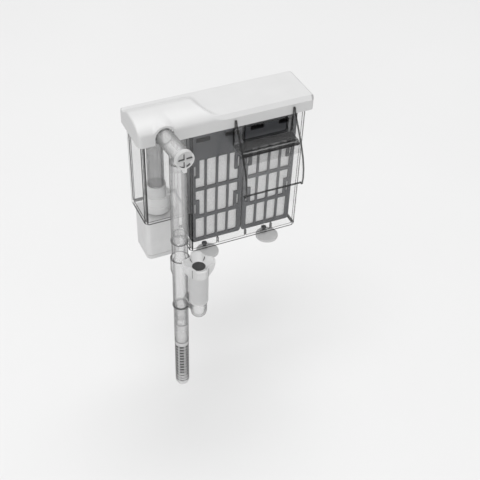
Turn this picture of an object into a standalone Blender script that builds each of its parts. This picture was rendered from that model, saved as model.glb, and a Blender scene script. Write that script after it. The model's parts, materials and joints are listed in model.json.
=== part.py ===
"""Hang on back aquarium filter.

World frame: origin at the middle of the flat underside of the outlet bridge, where it rests on the
rim of the tank. +X runs along the filter, +Y points away from the tank, +Z is up. The tank glass
stands in the slot between the chute and the front wall of the housing. Driving dimensions are in
millimetres and are scaled to metres where vertices are made.
"""
import math

import bmesh
import bpy
from mathutils import Matrix, Vector

MM = 0.001
GAP = 0.3
FINE = 24
ROUND = 16

# cover
COVER_X = (-131.5, 53.5)
COVER_Y = (7.0, 61.5)
COVER_BOTTOM = 21.3
SHOULDER_Z = 32.0
FLAT_Z = 36.0
CROWN_Z = 43.5
CROWN_Y = 36.0
COVER_WALL = 1.8
COVER_CORNER = 4.0
SCOOP_RUN = 11.0
SCOOP_X = -57.5

# housing
HOUSING_X = (-128.5, 47.5)
HOUSING_Y = (9.3, 55.5)
HOUSING_TOP = 30.6
MEDIA_BOTTOM = -125.0
PUMP_BOTTOM = -74.0
DIVIDER_X = (-79.5, -77.5)
DIVIDER_TOP = 22.0
WALL = 2.0
HOUSING_CORNER = 5.0
RIB_X = (-46.0, -13.0, 18.0)
RIB_TOP = -115.3

# weir window and waterfall outlet
WINDOW_X = (-22.5, 26.0)
WINDOW_Z = (2.0, 19.5)
SPOUT_X = (-33.5, 31.5)
SPOUT_WALL = 2.0

# pump, on one upright axis
PUMP_X = -107.0
PUMP_Y = 33.0
MOTOR_HALF = 18.8
MOTOR_TOP = -74.3
MOTOR_BOTTOM = -118.5
BASE_BOTTOM = -124.0
WELL_OUTER = 7.8
WELL_INNER = 6.6

# pipes
PIPE_OUTER = 8.7
PIPE_INNER = 7.3
SPIGOT_OUTER = 7.0
SPIGOT_INNER = 5.8
ELBOW_Z = 28.0
ELBOW_FRONT = -30.5
ELBOW_FOOT = 17.6
ELBOW_TURN = math.radians(5.0)
ELBOW_REACH = 52.7
ARCH_X = PUMP_X + 25.0 * math.tan(ELBOW_TURN)
TUBE_X = PUMP_X + ELBOW_REACH * math.sin(ELBOW_TURN)
TUBE_Y = PUMP_Y - ELBOW_REACH * math.cos(ELBOW_TURN)
TUBE_BOTTOM = -78.0

# skimmer, extension and strainer
COLLAR_Z = (-116.0, -100.0)
SKIMMER_BOTTOM = -167.5
FLOAT_X = TUBE_X + 13.0
FLOAT_Y = TUBE_Y - 19.2
FLOAT_TOP = -95.0
FLOAT_BOTTOM = -148.0
TAIL_BOTTOM = -196.0
TAIL_OUTER = 6.7
TAIL_INNER = 5.5
GROOVE_Z = (-184.4, -193.4)
EXTENSION_OUTER = 8.2
EXTENSION_INNER = 7.0
EXTENSION_BOTTOM = -222.0
NECK_TOP = -204.0
NECK_OUTER = 6.7
NECK_INNER = 5.7
STRAINER_TOP = -222.3
SLOT_TOP = -227.5
STRAINER_BOTTOM = -297.5
STRAINER_OUTER = 8.2
STRAINER_INNER = 7.2
STRAINER_ROWS = 10

# cartridges
CART_WIDTH = 57.0
CART_LEFT = {"left": -76.2, "right": -17.8}
CART_Y = (13.5, 41.5)
CART_Z = (-115.0, 24.0)
CART_SKIN = 2.0
WINDOW_W = 10.2
BAR_W = 2.2
TONGUE_W = 4.2
ROW_Z = ((-45.5, -12.0), (-80.5, -49.0), (-110.8, -84.0))

# levelling cams
LEVELLER_X = {"left": -60.0, "right": 11.5}
LEVELLER_PIVOT_Y = 16.5
LEVELLER_OFFSET = 8.5
LEVELLER_RADIUS = 12.3
LEVELLER_Z = (-128.2, -125.4)


# ---------------------------------------------------------------- scene and materials

def clear_scene():
    for item in list(bpy.data.objects):
        bpy.data.objects.remove(item, do_unlink=True)


def make_material(name, colour, roughness, metallic=0.0, alpha=1.0, transmission=0.0):
    material = bpy.data.materials.new(name)
    material.use_nodes = True
    shader = material.node_tree.nodes["Principled BSDF"]
    shader.inputs["Base Color"].default_value = (*colour, 1.0)
    shader.inputs["Roughness"].default_value = roughness
    shader.inputs["Metallic"].default_value = metallic
    shader.inputs["Alpha"].default_value = alpha
    shader.inputs["Transmission Weight"].default_value = transmission
    return material


MATERIALS = {
    "clear_plastic": dict(colour=(0.75, 0.79, 0.82), roughness=0.08, alpha=0.35, transmission=0.8),
    "white_plastic": dict(colour=(0.80, 0.80, 0.80), roughness=0.35),
    "pump_white": dict(colour=(0.62, 0.63, 0.64), roughness=0.45),
    "frosted_white": dict(colour=(0.72, 0.73, 0.74), roughness=0.30),
    "slate_plastic": dict(colour=(0.10, 0.105, 0.12), roughness=0.5),
    "filter_wool": dict(colour=(0.55, 0.56, 0.57), roughness=0.95),
    "carbon": dict(colour=(0.025, 0.025, 0.027), roughness=0.8),
    "rubber": dict(colour=(0.03, 0.03, 0.03), roughness=0.7),
    "steel": dict(colour=(0.60, 0.61, 0.63), roughness=0.25, metallic=1.0),
    "copper": dict(colour=(0.55, 0.25, 0.12), roughness=0.35, metallic=1.0),
    "ceramic": dict(colour=(0.85, 0.84, 0.80), roughness=0.3),
    "magnet": dict(colour=(0.07, 0.07, 0.075), roughness=0.4),
}


# ---------------------------------------------------------------- solid makers (millimetres)

def as_object(name, mesh_data):
    item = bpy.data.objects.new(name, mesh_data)
    bpy.context.scene.collection.objects.link(item)
    return item


def from_bmesh(name, shape):
    """Scale a bmesh from millimetres to metres and turn it into an object."""
    bmesh.ops.recalc_face_normals(shape, faces=shape.faces)
    bmesh.ops.scale(shape, vec=(MM, MM, MM), verts=shape.verts)
    mesh_data = bpy.data.meshes.new(name)
    shape.to_mesh(mesh_data)
    shape.free()
    return as_object(name, mesh_data)


def loft(name, rings, closed=False):
    """Skin equal rings of points; the ends are capped unless the loft closes on itself."""
    shape = bmesh.new()
    made = [[shape.verts.new(point) for point in ring] for ring in rings]
    count = len(made[0])
    last = len(made) if closed else len(made) - 1
    for index in range(last):
        lower = made[index]
        upper = made[(index + 1) % len(made)]
        for side in range(count):
            after = (side + 1) % count
            shape.faces.new((lower[side], lower[after], upper[after], upper[side]))
    if not closed:
        shape.faces.new(made[0][::-1])
        shape.faces.new(made[-1])
    return from_bmesh(name, shape)


def prism(name, outline, axis, low, high):
    """Extrude a flat outline along x, y or z."""
    def place(point, level):
        a, b = point
        return {"x": (level, a, b), "y": (a, level, b), "z": (a, b, level)}[axis]

    return loft(name, [[place(point, level) for point in outline] for level in (low, high)])


def box(name, x, y, z):
    return prism(name, [(x[0], y[0]), (x[1], y[0]), (x[1], y[1]), (x[0], y[1])], "z", z[0], z[1])


def rounded(a, b, radius, steps=4):
    """Outline of a rectangle with rounded corners."""
    corners = ((a[1], b[1], 0), (a[0], b[1], 90), (a[0], b[0], 180), (a[1], b[0], 270))
    points = []
    for corner_a, corner_b, start in corners:
        centre_a = corner_a - radius if corner_a == a[1] else corner_a + radius
        centre_b = corner_b - radius if corner_b == b[1] else corner_b + radius
        for step in range(steps + 1):
            angle = math.radians(start + 90.0 * step / steps)
            points.append((centre_a + radius * math.cos(angle), centre_b + radius * math.sin(angle)))
    return points


def rounded_box(name, x, y, z, radius, foot=0.0):
    """Upright box with rounded vertical edges and, when foot is given, a softened bottom edge."""
    levels = [(z[0], foot), (z[0] + foot * 0.3, foot * 0.3), (z[0] + foot, 0.0)] if foot else [(z[0], 0.0)]
    levels.append((z[1], 0.0))
    rings = []
    for level, inset in levels:
        outline = rounded((x[0] + inset, x[1] - inset), (y[0] + inset, y[1] - inset), radius - inset * 0.5)
        rings.append([(px, py, level) for px, py in outline])
    return loft(name, rings)


def circle(radius, segments, start=0.0):
    turn = 2.0 * math.pi / segments
    return [(radius * math.cos(start + turn * i), radius * math.sin(start + turn * i))
            for i in range(segments)]


def turned(name, profile, centre, segments=FINE):
    """Turn a closed profile of (radius, height) points about an upright axis."""
    rings = [[(centre[0] + px, centre[1] + py, height) for px, py in circle(radius, segments)]
             for radius, height in profile]
    return loft(name, rings, closed=True)


def spun(name, profile, centre, segments=FINE):
    """Stack round sections of (radius, height) into a solid with flat ends."""
    rings = [[(centre[0] + px, centre[1] + py, height) for px, py in circle(radius, segments)]
             for radius, height in profile]
    return loft(name, rings)


def pipe(name, centre, outer, inner, low, high, segments=FINE):
    return turned(name, [(outer, high), (outer, low), (inner, low), (inner, high)], centre, segments)


def rod(name, centre, radius, low, high, segments=FINE):
    return spun(name, [(radius, low), (radius, high)], centre, segments)


def rod_along_y(name, x, z, radius, low, high, segments=FINE):
    rings = [[(x + px, level, z + pz) for px, pz in circle(radius, segments)] for level in (low, high)]
    return loft(name, rings)


def swept(name, path, radius, segments=FINE):
    """Round bar along a path of points."""
    points = [Vector(point) for point in path]
    rings = []
    for index, point in enumerate(points):
        before = points[max(index - 1, 0)]
        after = points[min(index + 1, len(points) - 1)]
        along = (after - before).normalized()
        side = Vector((1.0, 0.0, 0.0))
        side = (side - along * side.dot(along)).normalized()
        up = along.cross(side)
        rings.append([tuple(point + side * a + up * b) for a, b in circle(radius, segments)])
    return loft(name, rings)


def combine(target, others, operation):
    """Apply one exact boolean for each of the other solids, then drop them."""
    for other in others:
        step = target.modifiers.new("step", "BOOLEAN")
        step.object = other
        step.operation = operation
        step.solver = "EXACT"
        graph = bpy.context.evaluated_depsgraph_get()
        result = bpy.data.meshes.new_from_object(target.evaluated_get(graph))
        target.modifiers.clear()
        target.data = result
        bpy.data.objects.remove(other, do_unlink=True)
    return target


def cut(target, *others):
    return combine(target, others, "DIFFERENCE")


def join(target, *others):
    return combine(target, others, "UNION")


def together(name, solids):
    """Put separate solids that do not touch into one cutter."""
    shape = bmesh.new()
    for solid in solids:
        shape.from_mesh(solid.data)
        bpy.data.objects.remove(solid, do_unlink=True)
    mesh_data = bpy.data.meshes.new(name)
    shape.to_mesh(mesh_data)
    shape.free()
    return as_object(name, mesh_data)


def settle(item, collection, slot, origin=(0.0, 0.0, 0.0)):
    """Clean the mesh, set the origin, shade it and file it in the filter's collection."""
    shape = bmesh.new()
    shape.from_mesh(item.data)
    bmesh.ops.remove_doubles(shape, verts=shape.verts, dist=0.000004)
    bmesh.ops.dissolve_degenerate(shape, edges=shape.edges, dist=0.000004)
    offset = Vector(origin) * MM
    bmesh.ops.translate(shape, vec=-offset, verts=shape.verts)
    for face in shape.faces:
        face.smooth = True
        face.material_index = 0
    for edge in shape.edges:
        edge.smooth = len(edge.link_faces) == 2 and edge.calc_face_angle(0.0) < math.radians(32.0)
    shape.to_mesh(item.data)
    shape.free()
    item.location = offset
    item.data.materials.clear()
    item.data.materials.append(bpy.data.materials[slot])
    for holder in list(item.users_collection):
        holder.objects.unlink(item)
    collection.objects.link(item)
    return item


# ---------------------------------------------------------------- cover

def smooth_step(value):
    value = min(max(value, 0.0), 1.0)
    return value * value * (3.0 - 2.0 * value)


def scoop_edge(y):
    """X of the curved line where the raised crown ends on the flat top."""
    forward = max(0.0, (46.0 - y) / (46.0 - COVER_Y[0]))
    return SCOOP_X + 14.0 * forward ** 2.2


def flat_profile(y):
    front = min(1.0, (y - COVER_Y[0]) / 3.5)
    back = min(1.0, (COVER_Y[1] - y) / 2.0)
    return FLAT_Z - (FLAT_Z - SHOULDER_Z) * (1.0 - front) - 1.6 * (1.0 - back) ** 2


def crown_profile(y):
    if y < CROWN_Y:
        share = (CROWN_Y - y) / (CROWN_Y - COVER_Y[0])
        return SHOULDER_Z + (CROWN_Z - SHOULDER_Z) * math.sqrt(max(0.0, 1.0 - share ** 2.1))
    share = (y - CROWN_Y) / (COVER_Y[1] - CROWN_Y)
    low = FLAT_Z - 1.6
    return low + (CROWN_Z - low) * (1.0 - smooth_step(share))


def cover_height(x, y):
    """Outer height of the cover: flat top, barrel crown at the left, arch over the elbow."""
    flat = flat_profile(y)
    ramp = min(max((scoop_edge(y) - x) / SCOOP_RUN, 0.0), 1.0)
    height = flat + (max(crown_profile(y), flat) - flat) * smooth_step(ramp) ** 0.9
    across = abs(x - ARCH_X)
    if across < 19.0 and y < CROWN_Y:
        arch = ELBOW_Z + math.sqrt(max(0.0, 12.0 ** 2 - across ** 2))
        blend = 5.0
        share = min(max(0.5 + (arch - height) / (2.0 * blend), 0.0), 1.0)
        height = height * (1.0 - share) + arch * share + blend * share * (1.0 - share)
    for distance in (x - COVER_X[0], COVER_X[1] - x):
        if distance < 2.2:
            height -= 2.2 - math.sqrt(max(0.0, 2.2 ** 2 - (2.2 - distance) ** 2))
    return height


def inner_height(x, y):
    """Inner ceiling: a wall thickness below the lowest outer height nearby."""
    reach = 1.5
    near = []
    for dx in (-reach, 0.0, reach):
        for dy in (-reach, 0.0, reach):
            px = min(max(x + dx, COVER_X[0] + 1.5), COVER_X[1] - 1.5)
            py = min(max(y + dy, COVER_Y[0] + 0.3), COVER_Y[1] - 0.3)
            near.append(cover_height(px, py))
    return min(near) - 1.7


def round_corner(x, y, low, high, radius):
    """Pull the corner squares of a rectangle onto quarter discs."""
    shift = []
    for value, start, stop in ((x, low[0], high[0]), (y, low[1], high[1])):
        if value < start + radius:
            shift.append((-1.0, (start + radius - value) / radius, start + radius))
        elif value > stop - radius:
            shift.append((1.0, (value - stop + radius) / radius, stop - radius))
        else:
            return x, y
    (sign_x, u, base_x), (sign_y, v, base_y) = shift
    return (base_x + sign_x * radius * u * math.sqrt(1.0 - v * v / 2.0),
            base_y + sign_y * radius * v * math.sqrt(1.0 - u * u / 2.0))


def spread(marks, steps):
    values = []
    for start, stop, count in zip(marks, marks[1:], steps):
        values += [start + (stop - start) * i / count for i in range(count)]
    return values + [marks[-1]]


def build_cover():
    outer_x = spread([-131.5, -127.5, -117.5, -90.5, -73.0, -40.0, 49.5, 53.5], [3, 2, 9, 2, 8, 3, 2])
    outer_y = spread([7.0, 11.0, 30.0, 57.5, 61.5], [3, 5, 4, 2])
    low = (COVER_X[0], COVER_Y[0])
    high = (COVER_X[1], COVER_Y[1])
    shape = bmesh.new()

    def sheet(inset, height_of, radius):
        span_x = COVER_X[1] - COVER_X[0]
        span_y = COVER_Y[1] - COVER_Y[0]
        grid = []
        for gx in outer_x:
            column = []
            for gy in outer_y:
                x = COVER_X[0] + inset + (gx - COVER_X[0]) * (span_x - 2.0 * inset) / span_x
                y = COVER_Y[0] + inset + (gy - COVER_Y[0]) * (span_y - 2.0 * inset) / span_y
                height = height_of(x, y)
                px, py = round_corner(x, y, (low[0] + inset, low[1] + inset),
                                      (high[0] - inset, high[1] - inset), radius)
                column.append(shape.verts.new((px, py, height)))
            grid.append(column)
        edge = [(i, 0) for i in range(len(outer_x))]
        edge += [(len(outer_x) - 1, j) for j in range(1, len(outer_y))]
        edge += [(i, len(outer_y) - 1) for i in range(len(outer_x) - 2, -1, -1)]
        edge += [(0, j) for j in range(len(outer_y) - 2, 0, -1)]
        rim = [grid[i][j] for i, j in edge]
        foot = [shape.verts.new((v.co.x, v.co.y, COVER_BOTTOM)) for v in rim]
        for i in range(len(outer_x) - 1):
            for j in range(len(outer_y) - 1):
                shape.faces.new((grid[i][j], grid[i + 1][j], grid[i + 1][j + 1], grid[i][j + 1]))
        for i in range(len(rim)):
            after = (i + 1) % len(rim)
            shape.faces.new((rim[i], rim[after], foot[after], foot[i]))
        return foot

    outer_foot = sheet(0.0, cover_height, COVER_CORNER)
    inner_foot = sheet(COVER_WALL, inner_height, COVER_CORNER - 1.4)
    for i in range(len(outer_foot)):
        after = (i + 1) % len(outer_foot)
        shape.faces.new((outer_foot[i], outer_foot[after], inner_foot[after], inner_foot[i]))
    cover = from_bmesh("cover", shape)
    arch = rod_along_y("arch", ARCH_X, ELBOW_Z, 9.8, 4.0, 12.0, FINE)
    below = box("below", (ARCH_X - 9.8, ARCH_X + 9.8), (4.0, 12.0), (10.0, ELBOW_Z - 0.01))
    return cut(cover, arch, below)


# ---------------------------------------------------------------- housing and outlet

def build_housing():
    split = (DIVIDER_X[0], HOUSING_X[1])
    body = rounded_box("housing", split, HOUSING_Y, (MEDIA_BOTTOM, HOUSING_TOP), HOUSING_CORNER, 2.5)
    pump = rounded_box("pump_end", (HOUSING_X[0], DIVIDER_X[1] + 8.0), HOUSING_Y,
                       (PUMP_BOTTOM, HOUSING_TOP), HOUSING_CORNER, 2.5)
    join(body, pump)
    inner_y = (HOUSING_Y[0] + WALL, HOUSING_Y[1] - WALL)
    corner = HOUSING_CORNER - WALL + 0.5
    media_room = rounded_box("room", (DIVIDER_X[1], HOUSING_X[1] - WALL), inner_y,
                             (MEDIA_BOTTOM + WALL, HOUSING_TOP + 5.0), corner, 1.5)
    pump_room = rounded_box("room", (HOUSING_X[0] + WALL, DIVIDER_X[0]), inner_y,
                            (PUMP_BOTTOM + WALL, HOUSING_TOP + 5.0), corner, 1.5)
    cut(body, media_room, pump_room)
    ribs = [box("rib", (x - 0.8, x + 0.8), (inner_y[0] - 0.8, inner_y[1] + 0.8),
                (MEDIA_BOTTOM + 1.0, RIB_TOP)) for x in RIB_X]
    join(body, *ribs)
    overflow = box("overflow", (DIVIDER_X[0] - 1.0, DIVIDER_X[1] + 1.0), (16.0, 49.0),
                   (DIVIDER_TOP, HOUSING_TOP + 5.0))
    passage = box("passage", (DIVIDER_X[0] - 1.0, DIVIDER_X[1] + 1.0), (43.5, 50.0), (-68.0, -44.0))
    weir = prism("weir", rounded(WINDOW_X, WINDOW_Z, 2.0), "y", HOUSING_Y[0] - 1.0, HOUSING_Y[0] + 4.0)
    notch = rod_along_y("notch", ARCH_X, ELBOW_Z, 9.3, HOUSING_Y[0] - 1.0, HOUSING_Y[0] + 5.0)
    above = box("above", (ARCH_X - 9.3, ARCH_X + 9.3), (HOUSING_Y[0] - 1.0, HOUSING_Y[0] + 5.0),
                (ELBOW_Z + 0.01, HOUSING_TOP + 5.0))
    bore = rod("bore", (PUMP_X, PUMP_Y), WELL_OUTER + 0.4, PUMP_BOTTOM - 1.0, PUMP_BOTTOM + 3.0)
    cut(body, overflow, passage, weir, notch, above, bore)
    for x in LEVELLER_X.values():
        cut(body, rod("pivot_hole", (x, LEVELLER_PIVOT_Y), 1.8, MEDIA_BOTTOM - 1.0, MEDIA_BOTTOM + 3.0, 16))
    return body


def build_outlet():
    channel = [(9.0, 2.0), (-8.0, 2.0), (-11.0, 1.0), (-13.0, -2.0), (-15.5, -10.0), (-19.0, -25.0),
               (-22.5, -42.0), (-20.5, -42.5), (-17.0, -25.5), (-13.5, -11.0), (-11.0, -3.0),
               (-10.2, -1.0), (-9.0, 0.0), (9.0, 0.0)]
    outlet = prism("waterfall_outlet", channel, "x", SPOUT_X[0], SPOUT_X[1])
    cheek = [(9.0, 0.2), (9.0, 20.6), (6.5, 20.6), (6.5, 29.5), (4.6, 29.5), (2.5, 24.0), (-10.5, 5.0),
             (-16.0, -4.0), (-20.5, -13.0), (-24.0, -24.0), (-25.0, -34.0), (-24.0, -42.3), (-21.0, -42.3),
             (-17.6, -25.5), (-14.1, -11.0), (-11.6, -3.0), (-9.6, 0.2)]
    for side in (SPOUT_X[0], SPOUT_X[1] - SPOUT_WALL):
        join(outlet, prism("cheek", cheek, "x", side, side + SPOUT_WALL))
    plate = box("plate", SPOUT_X, (7.2, 9.0), (0.6, 20.6))
    window = prism("window", rounded(WINDOW_X, (2.0, 18.6), 1.5), "y", 0.0, 12.0)
    join(outlet, cut(plate, window))
    return outlet


# ---------------------------------------------------------------- pump

def build_motor_case():
    x = (PUMP_X - MOTOR_HALF, PUMP_X + MOTOR_HALF)
    y = (PUMP_Y - MOTOR_HALF, PUMP_Y + MOTOR_HALF)
    case = rounded_box("motor_case", x, y, (MOTOR_BOTTOM, MOTOR_TOP), 5.5)
    room = rounded_box("room", (x[0] + 1.8, x[1] - 1.8), (y[0] + 1.8, y[1] - 1.8),
                       (MOTOR_BOTTOM - 1.0, MOTOR_TOP - 1.8), 3.8)
    hole = rod("hole", (PUMP_X, PUMP_Y), WELL_OUTER + 0.4, MOTOR_TOP - 4.0, MOTOR_TOP + 1.0)
    lead = rod_along_y("lead", PUMP_X, -107.0, 3.1, y[1] - 4.0, y[1] + 1.0, 16)
    return cut(case, room, hole, lead)


def build_motor_base():
    x = (PUMP_X - MOTOR_HALF, PUMP_X + MOTOR_HALF)
    y = (PUMP_Y - MOTOR_HALF, PUMP_Y + MOTOR_HALF)
    base = rounded_box("motor_base", x, y, (BASE_BOTTOM, MOTOR_BOTTOM - GAP), 5.5, 1.5)
    lip = rounded_box("lip", (x[0] + 2.2, x[1] - 2.2), (y[0] + 2.2, y[1] - 2.2),
                      (MOTOR_BOTTOM - 1.5, MOTOR_BOTTOM + 2.0), 3.4)
    inside = rounded_box("inside", (x[0] + 4.0, x[1] - 4.0), (y[0] + 4.0, y[1] - 4.0),
                         (MOTOR_BOTTOM - 2.5, MOTOR_BOTTOM + 3.0), 2.4)
    return cut(join(base, lip), inside)


def build_cable_gland():
    y = PUMP_Y + MOTOR_HALF
    gland = rod_along_y("cable_gland", PUMP_X, -107.0, 4.4, y + GAP, y + 4.5, 16)
    stem = rod_along_y("stem", PUMP_X, -107.0, 2.8, y - 3.0, y + 2.0, 16)
    bore = rod_along_y("bore", PUMP_X, -107.0, 1.9, y - 4.0, y + 6.0, 16)
    return cut(join(gland, stem), bore)


def build_stator_core():
    core = box("stator_core", (PUMP_X - 14.5, PUMP_X + 14.5), (PUMP_Y - 12.0, PUMP_Y + 12.0),
               (-89.5, -77.5))
    return cut(core, rod("hole", (PUMP_X, PUMP_Y), WELL_OUTER + 0.35, -95.0, -70.0))


def build_coil():
    profile = [(13.2, -90.5), (13.2, -108.5), (8.2, -108.5), (8.2, -90.5)]
    return turned("coil", profile, (PUMP_X, PUMP_Y), ROUND)


def build_rotor_well():
    profile = [(12.2, -68.0), (12.2, -69.6), (WELL_OUTER, -69.6), (WELL_OUTER, -110.6)]
    well = spun("rotor_well", profile[::-1], (PUMP_X, PUMP_Y))
    room = rod("room", (PUMP_X, PUMP_Y), WELL_INNER, -109.2, -60.0)
    return cut(well, room)


def build_o_ring():
    section = [(10.2 + a, -70.75 + b) for a, b in circle(0.85, 8)]
    return turned("o_ring", section, (PUMP_X, PUMP_Y))


def build_volute_cup():
    rings = [(14.2, -52.0), (14.2, -58.0), (13.8, -58.5), (13.8, -59.2), (14.2, -59.7), (14.2, -62.5),
             (13.8, -63.0), (13.8, -63.7), (14.2, -64.2), (14.2, -70.5), (13.4, -71.7), (12.7, -71.7),
             (12.7, -52.0)]
    cup = turned("volute_cup", rings, (PUMP_X, PUMP_Y))
    outlet = box("outlet", (PUMP_X + 6.0, PUMP_X + 18.0), (PUMP_Y + 1.0, PUMP_Y + 9.5), (-67.0, -60.5))
    return cut(cup, outlet)


def build_riser_socket():
    rings = [(10.2, -41.0), (10.2, -57.6), (12.3, -57.6), (12.3, -59.4), (7.2, -59.4), (7.2, -51.6),
             (9.0, -51.6), (9.0, -41.0)]
    socket = turned("riser_socket", rings, (PUMP_X, PUMP_Y))
    arms = [box("arm", (PUMP_X - 8.0, PUMP_X + 8.0), (PUMP_Y - 0.8, PUMP_Y + 0.8), (-56.5, -53.5)),
            box("arm", (PUMP_X - 0.8, PUMP_X + 0.8), (PUMP_Y - 8.0, PUMP_Y + 8.0), (-56.5, -53.5))]
    hub = rod("hub", (PUMP_X, PUMP_Y), 3.2, -57.5, -53.0, 16)
    spider = join(hub, *arms)
    bore = rod("bore", (PUMP_X, PUMP_Y), 2.3, -60.0, -54.3, 16)
    return join(socket, cut(spider, bore))


def build_riser_tube():
    return pipe("riser_tube", (PUMP_X, PUMP_Y), PIPE_OUTER, PIPE_INNER, -51.2, ELBOW_FOOT - GAP)


def build_impeller():
    centre = (PUMP_X, PUMP_Y)
    impeller = spun("impeller", [(3.0, -75.6), (3.0, -67.2), (9.6, -67.2), (9.6, -66.2), (3.0, -66.2),
                                 (3.0, -60.6)], centre, ROUND)
    blades = []
    for index in range(6):
        blade = box("blade", (2.0, 9.2), (-0.5, 0.5), (-66.6, -60.6))
        blade.data.transform(Matrix.Rotation(math.radians(60.0 * index + 8.0), 4, "Z"))
        blade.data.transform(Matrix.Translation(Vector((PUMP_X, PUMP_Y, 0.0)) * MM))
        blades.append(blade)
    join(impeller, *blades)
    return cut(impeller, rod("bore", centre, 1.4, -80.0, -55.0, 16))


def build_rotor_magnet():
    return pipe("rotor_magnet", (PUMP_X, PUMP_Y), 5.8, 1.4, -105.6, -75.9, ROUND)


def build_shaft():
    return rod("shaft", (PUMP_X, PUMP_Y), 1.0, -108.7, -54.7, 12)


def build_lower_bush():
    return pipe("lower_bush", (PUMP_X, PUMP_Y), 3.2, 1.3, -108.9, -106.0, 16)


def build_upper_bush():
    return pipe("upper_bush", (PUMP_X, PUMP_Y), 2.0, 1.3, -58.6, -54.6, 16)


# ---------------------------------------------------------------- pipes, regulator, skimmer

def elbow_path(foot, front):
    """Centre line: up from the riser, a quarter bend, then forward over the glass."""
    bend = 10.0
    points = [(PUMP_X, PUMP_Y, foot)]
    for step in range(7):
        angle = math.radians(90.0 * step / 6.0)
        points.append((PUMP_X, PUMP_Y - bend + bend * math.cos(angle),
                       ELBOW_Z - bend + bend * math.sin(angle)))
    points.append((PUMP_X, front, ELBOW_Z))
    return points


def swing(item):
    """Turn an elbow piece about the riser's axis, so the inlet tube stands a little to the right."""
    pivot = Vector((PUMP_X, PUMP_Y, 0.0)) * MM
    turn = Matrix.Translation(pivot) @ Matrix.Rotation(ELBOW_TURN, 4, "Z") @ Matrix.Translation(-pivot)
    item.data.transform(turn)
    return item


def along_elbow(distance):
    """World x and y of a point on the elbow's level axis, by its distance from the riser."""
    return (PUMP_X + distance * math.sin(ELBOW_TURN), PUMP_Y - distance * math.cos(ELBOW_TURN))


def build_elbow():
    elbow = swept("elbow", elbow_path(ELBOW_FOOT, ELBOW_FRONT), PIPE_OUTER)
    drop_y = PUMP_Y - ELBOW_REACH
    drop = rod("drop", (PUMP_X, drop_y), PIPE_OUTER - 0.02, ELBOW_FOOT, ELBOW_Z)
    spigots = [rod("spigot", (PUMP_X, y), SPIGOT_OUTER, ELBOW_FOOT - 8.0, ELBOW_FOOT + 2.0)
               for y in (PUMP_Y, drop_y)]
    join(elbow, drop, *spigots)
    inside = swept("inside", elbow_path(ELBOW_FOOT + 1.0, ELBOW_FRONT - 3.0), PIPE_INNER)
    down = rod("down", (PUMP_X, drop_y), SPIGOT_INNER, ELBOW_FOOT - 10.0, ELBOW_Z)
    up = rod("up", (PUMP_X, PUMP_Y), SPIGOT_INNER, ELBOW_FOOT - 10.0, ELBOW_FOOT + 3.0)
    return swing(cut(elbow, inside, down, up))


def build_flow_knob():
    knob = rod_along_y("flow_knob", PUMP_X, ELBOW_Z, 9.3, ELBOW_FRONT - 5.0, ELBOW_FRONT - GAP)
    plug = rod_along_y("plug", PUMP_X, ELBOW_Z, 6.9, ELBOW_FRONT - 2.0, ELBOW_FRONT + 4.0)
    tab = box("tab", (PUMP_X - 1.6, PUMP_X + 1.6), (ELBOW_FRONT - 4.6, ELBOW_FRONT - 1.4),
              (ELBOW_Z - 13.6, ELBOW_Z - 8.0))
    join(knob, plug, tab)
    pockets = []
    for quarter in range(4):
        start = math.radians(90.0 * quarter)
        arc = [(1.3, 45.0), (7.6, 7.0), (7.6, 26.0), (7.6, 45.0), (7.6, 64.0), (7.6, 83.0)]
        outline = [(PUMP_X + r * math.cos(start + math.radians(a)),
                    ELBOW_Z + r * math.sin(start + math.radians(a)))
                   for r, a in arc]
        pockets.append(prism("pocket", outline, "y", ELBOW_FRONT - 8.0, ELBOW_FRONT - 2.6))
    return swing(cut(knob, together("pockets", pockets)))


def build_flow_shutter():
    """Part sleeve inside the elbow that swings over the mouth of the inlet tube."""
    angles = [math.radians(180.0 - 58.0 + 116.0 * i / 10.0) for i in range(11)]
    outline = [(PUMP_X + 6.95 * math.cos(a), ELBOW_Z + 6.95 * math.sin(a)) for a in angles]
    outline += [(PUMP_X + 5.8 * math.cos(a), ELBOW_Z + 5.8 * math.sin(a)) for a in reversed(angles)]
    return swing(prism("flow_shutter", outline, "y", ELBOW_FRONT + 4.3, PUMP_Y - ELBOW_REACH + 8.5))


def build_inlet_tube():
    top = ELBOW_FOOT - GAP
    rings = [(PIPE_OUTER, top), (PIPE_OUTER, TUBE_BOTTOM + 2.2), (PIPE_OUTER + 0.7, TUBE_BOTTOM + 1.7),
             (PIPE_OUTER + 0.7, TUBE_BOTTOM), (PIPE_INNER, TUBE_BOTTOM), (PIPE_INNER, top)]
    return turned("inlet_tube", rings, (TUBE_X, TUBE_Y))


def skimmer_link(radius):
    """Branch from the bottom of the float's cup, round and up into the main tube."""
    path = [(FLOAT_X, FLOAT_Y, -161.5), (FLOAT_X - 3.6, FLOAT_Y + 5.3, -160.5),
            (FLOAT_X - 8.1, FLOAT_Y + 11.9, -155.5), (TUBE_X, TUBE_Y, -143.5)]
    return swept("link", path, radius, ROUND)


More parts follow.
